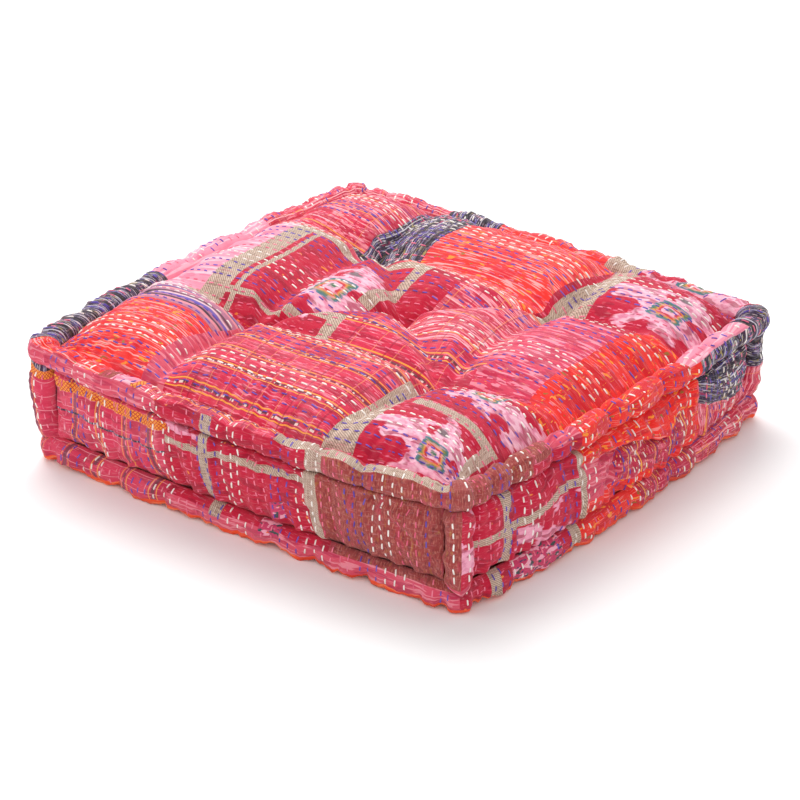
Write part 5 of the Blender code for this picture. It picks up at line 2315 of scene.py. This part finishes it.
@dataclass
class PatchworkCushion:
    """The whole cushion: its panels, its rolls and its stitches."""

    wardrobe: Wardrobe
    stitches: RunningStitches = field(default_factory=RunningStitches)

    def add(self, sheet: ClothSheet, node: str, slot: str, fill: float) -> None:
        """Makes a sheet's piece, hangs it on the root body, and hides the solid that it replaces.

        Args:
            sheet: The finished sheet.
            node: The solid that it replaces.
            slot: Not used.
            fill: Not used.
        """
        piece = sheet.build(self.wardrobe)
        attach(piece, "root")
        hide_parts(node)
        LOG.info("%s: %d faces", piece.name, len(piece.data.polygons))

    def build(self) -> None:
        """Builds every piece in order."""
        self.build_panels()
        walls = self.build_walls()
        self.build_edge_rolls(walls)
        self.build_corner_rolls()
        for piece in self.stitches.build(self.wardrobe):
            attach(piece, "root")
            LOG.info("%s: %d faces", piece.name, len(piece.data.polygons))

    def build_panels(self) -> None:
        """Builds the top and the base."""
        top = SeatPanel()
        sheet = top.build()
        order = (ThreadColour.WHITE, ThreadColour.PINK, ThreadColour.VIOLET)
        reach = 0.231
        plan = StitchPlan(True, top.first_row, colour_order=order, start=-reach, end=reach, low=-reach, high=reach)
        self.stitches.sew(sheet, plan)
        sheet.drift(Drift(7, 0.0030, 0.13))
        self.add(sheet, "cushion_body", BODY_SLOT, top.fill)
        base = BasePanel()
        self.add(base.build(), "cushion_body", BODY_SLOT, base.fill)

    def build_walls(self) -> tuple[WallPanel, ...]:
        """Builds the four walls.

        Returns:
            The walls, in the order that they stand round the cushion.
        """
        front_lean = (
            *((-230, -1), (-181, -2), (-124, 4), (-88, -2), (-51, 0), (-24, 3)),
            *((6, 5), (32, 6), (61, 8), (91, 4), (125, 0), (230, 0)),
        )
        right_lean = (
            *((-230, 0), (-199, 4), (-164, 0), (-142, 1), (-122, 12), (-80, 11), (-40, 9), (-10, 7), (10, 2)),
            *((30, -2), (50, -5), (64, -4), (76, 3), (96, 3), (106, 13), (122, 11), (150, 0), (186, -12), (230, -12)),
        )
        walls = (
            WallPanel(0, "wall_front", FRONT_PATCHES, 0.002, Drift(11, 0.0015, lean=front_lean), FRONT_FOLDS),
            WallPanel(1, "wall_right", RIGHT_PATCHES, 0.010, Drift(12, 0.0015, lean=right_lean), RIGHT_FOLDS),
            WallPanel(2, "wall_back", BACK_PATCHES, 0.006, Drift(13)),
            WallPanel(3, "wall_left", LEFT_PATCHES, 0.004, Drift(14)),
        )
        for wall in walls:
            sheet = wall.build()
            plan = StitchPlan(
                False, wall.first_row, start=-0.232, end=0.232, low=0.0262, high=0.0975, seed=10 + wall.side
            )
            self.stitches.sew(sheet, plan)
            sheet.drift(wall.drift)
            self.add(sheet, "cushion_body", BODY_SLOT, wall.fill)
        return walls

    def build_edge_rolls(self, walls: tuple[WallPanel, ...]) -> None:
        """Builds the two rolled edges, over which the walls' rows of stitching run on.

        Args:
            walls: The four walls.
        """
        rolls = (
            EdgeRoll("top_roll", TOP_SECTION, True, 3, TOP_ROLL_PATCHES, (0.26, 0.50, 0.20, 0.12), (0.0, 0.11, 0.0, 0.0)),
            EdgeRoll("base_roll", BASE_SECTION, False, 8, BASE_ROLL_PATCHES, (0.20, 0.24, 0.20, 0.20), (0.0, 0.0, 0.0, 0.0)),
        )
        for roll, node in zip(rolls, ("top_edge_roll", "base_edge_roll")):
            sheet = roll.build()
            low, high = (0.001, roll.girth - 0.004) if roll.top else (0.0285, roll.girth - 0.001)
            for wall in walls:
                start = wall.side * FORM.side
                plan = StitchPlan(
                    False,
                    start + FORM.half + wall.first_row,
                    start=start + 0.010,
                    end=start + FORM.side - 0.010,
                    low=low,
                    high=high,
                    seed=30 + wall.side + 4 * roll.top,
                )
                self.stitches.sew(sheet, plan)
            self.add(sheet, node, ROLL_SLOT, roll.fill)

    def build_corner_rolls(self) -> None:
        """Builds the four upright corner rolls."""
        corners = (("left", 8.0, 0.20), ("front", 0.0, 0.20), ("right", 9.0, 0.36), ("back", 4.0, 0.20))
        for corner, (place, lean, uneven) in enumerate(corners):
            roll = CornerRoll(corner, f"corner_{place}", CORNER_PATCHES[corner], uneven, foot_lean=lean * MM)
            sheet = roll.build()
            middle = sheet.run[-1] / 2
            for colour, away in ((ThreadColour.WHITE, -0.0075), (ThreadColour.WHITE, 0.0085), (ThreadColour.PINK, 0.017)):
                plan = StitchPlan(
                    False,
                    middle + away,
                    colour_order=(colour,) * 3,
                    start=middle + away - 0.001,
                    end=middle + away + 0.001,
                    low=sheet.rise[0] + 0.002,
                    high=sheet.rise[-1] - 0.002,
                    seed=50 + corner,
                )
                self.stitches.sew(sheet, plan)
            self.add(sheet, f"corner_roll_{place}", ROLL_SLOT, roll.fill)


def main() -> None:
    """Builds the studio and the cushion."""
    logging.basicConfig(level=logging.INFO)
    Studio().build()
    wardrobe = Wardrobe()
    wardrobe.build()
    PatchworkCushion(wardrobe).build()


if __name__ == "__main__":
    main()
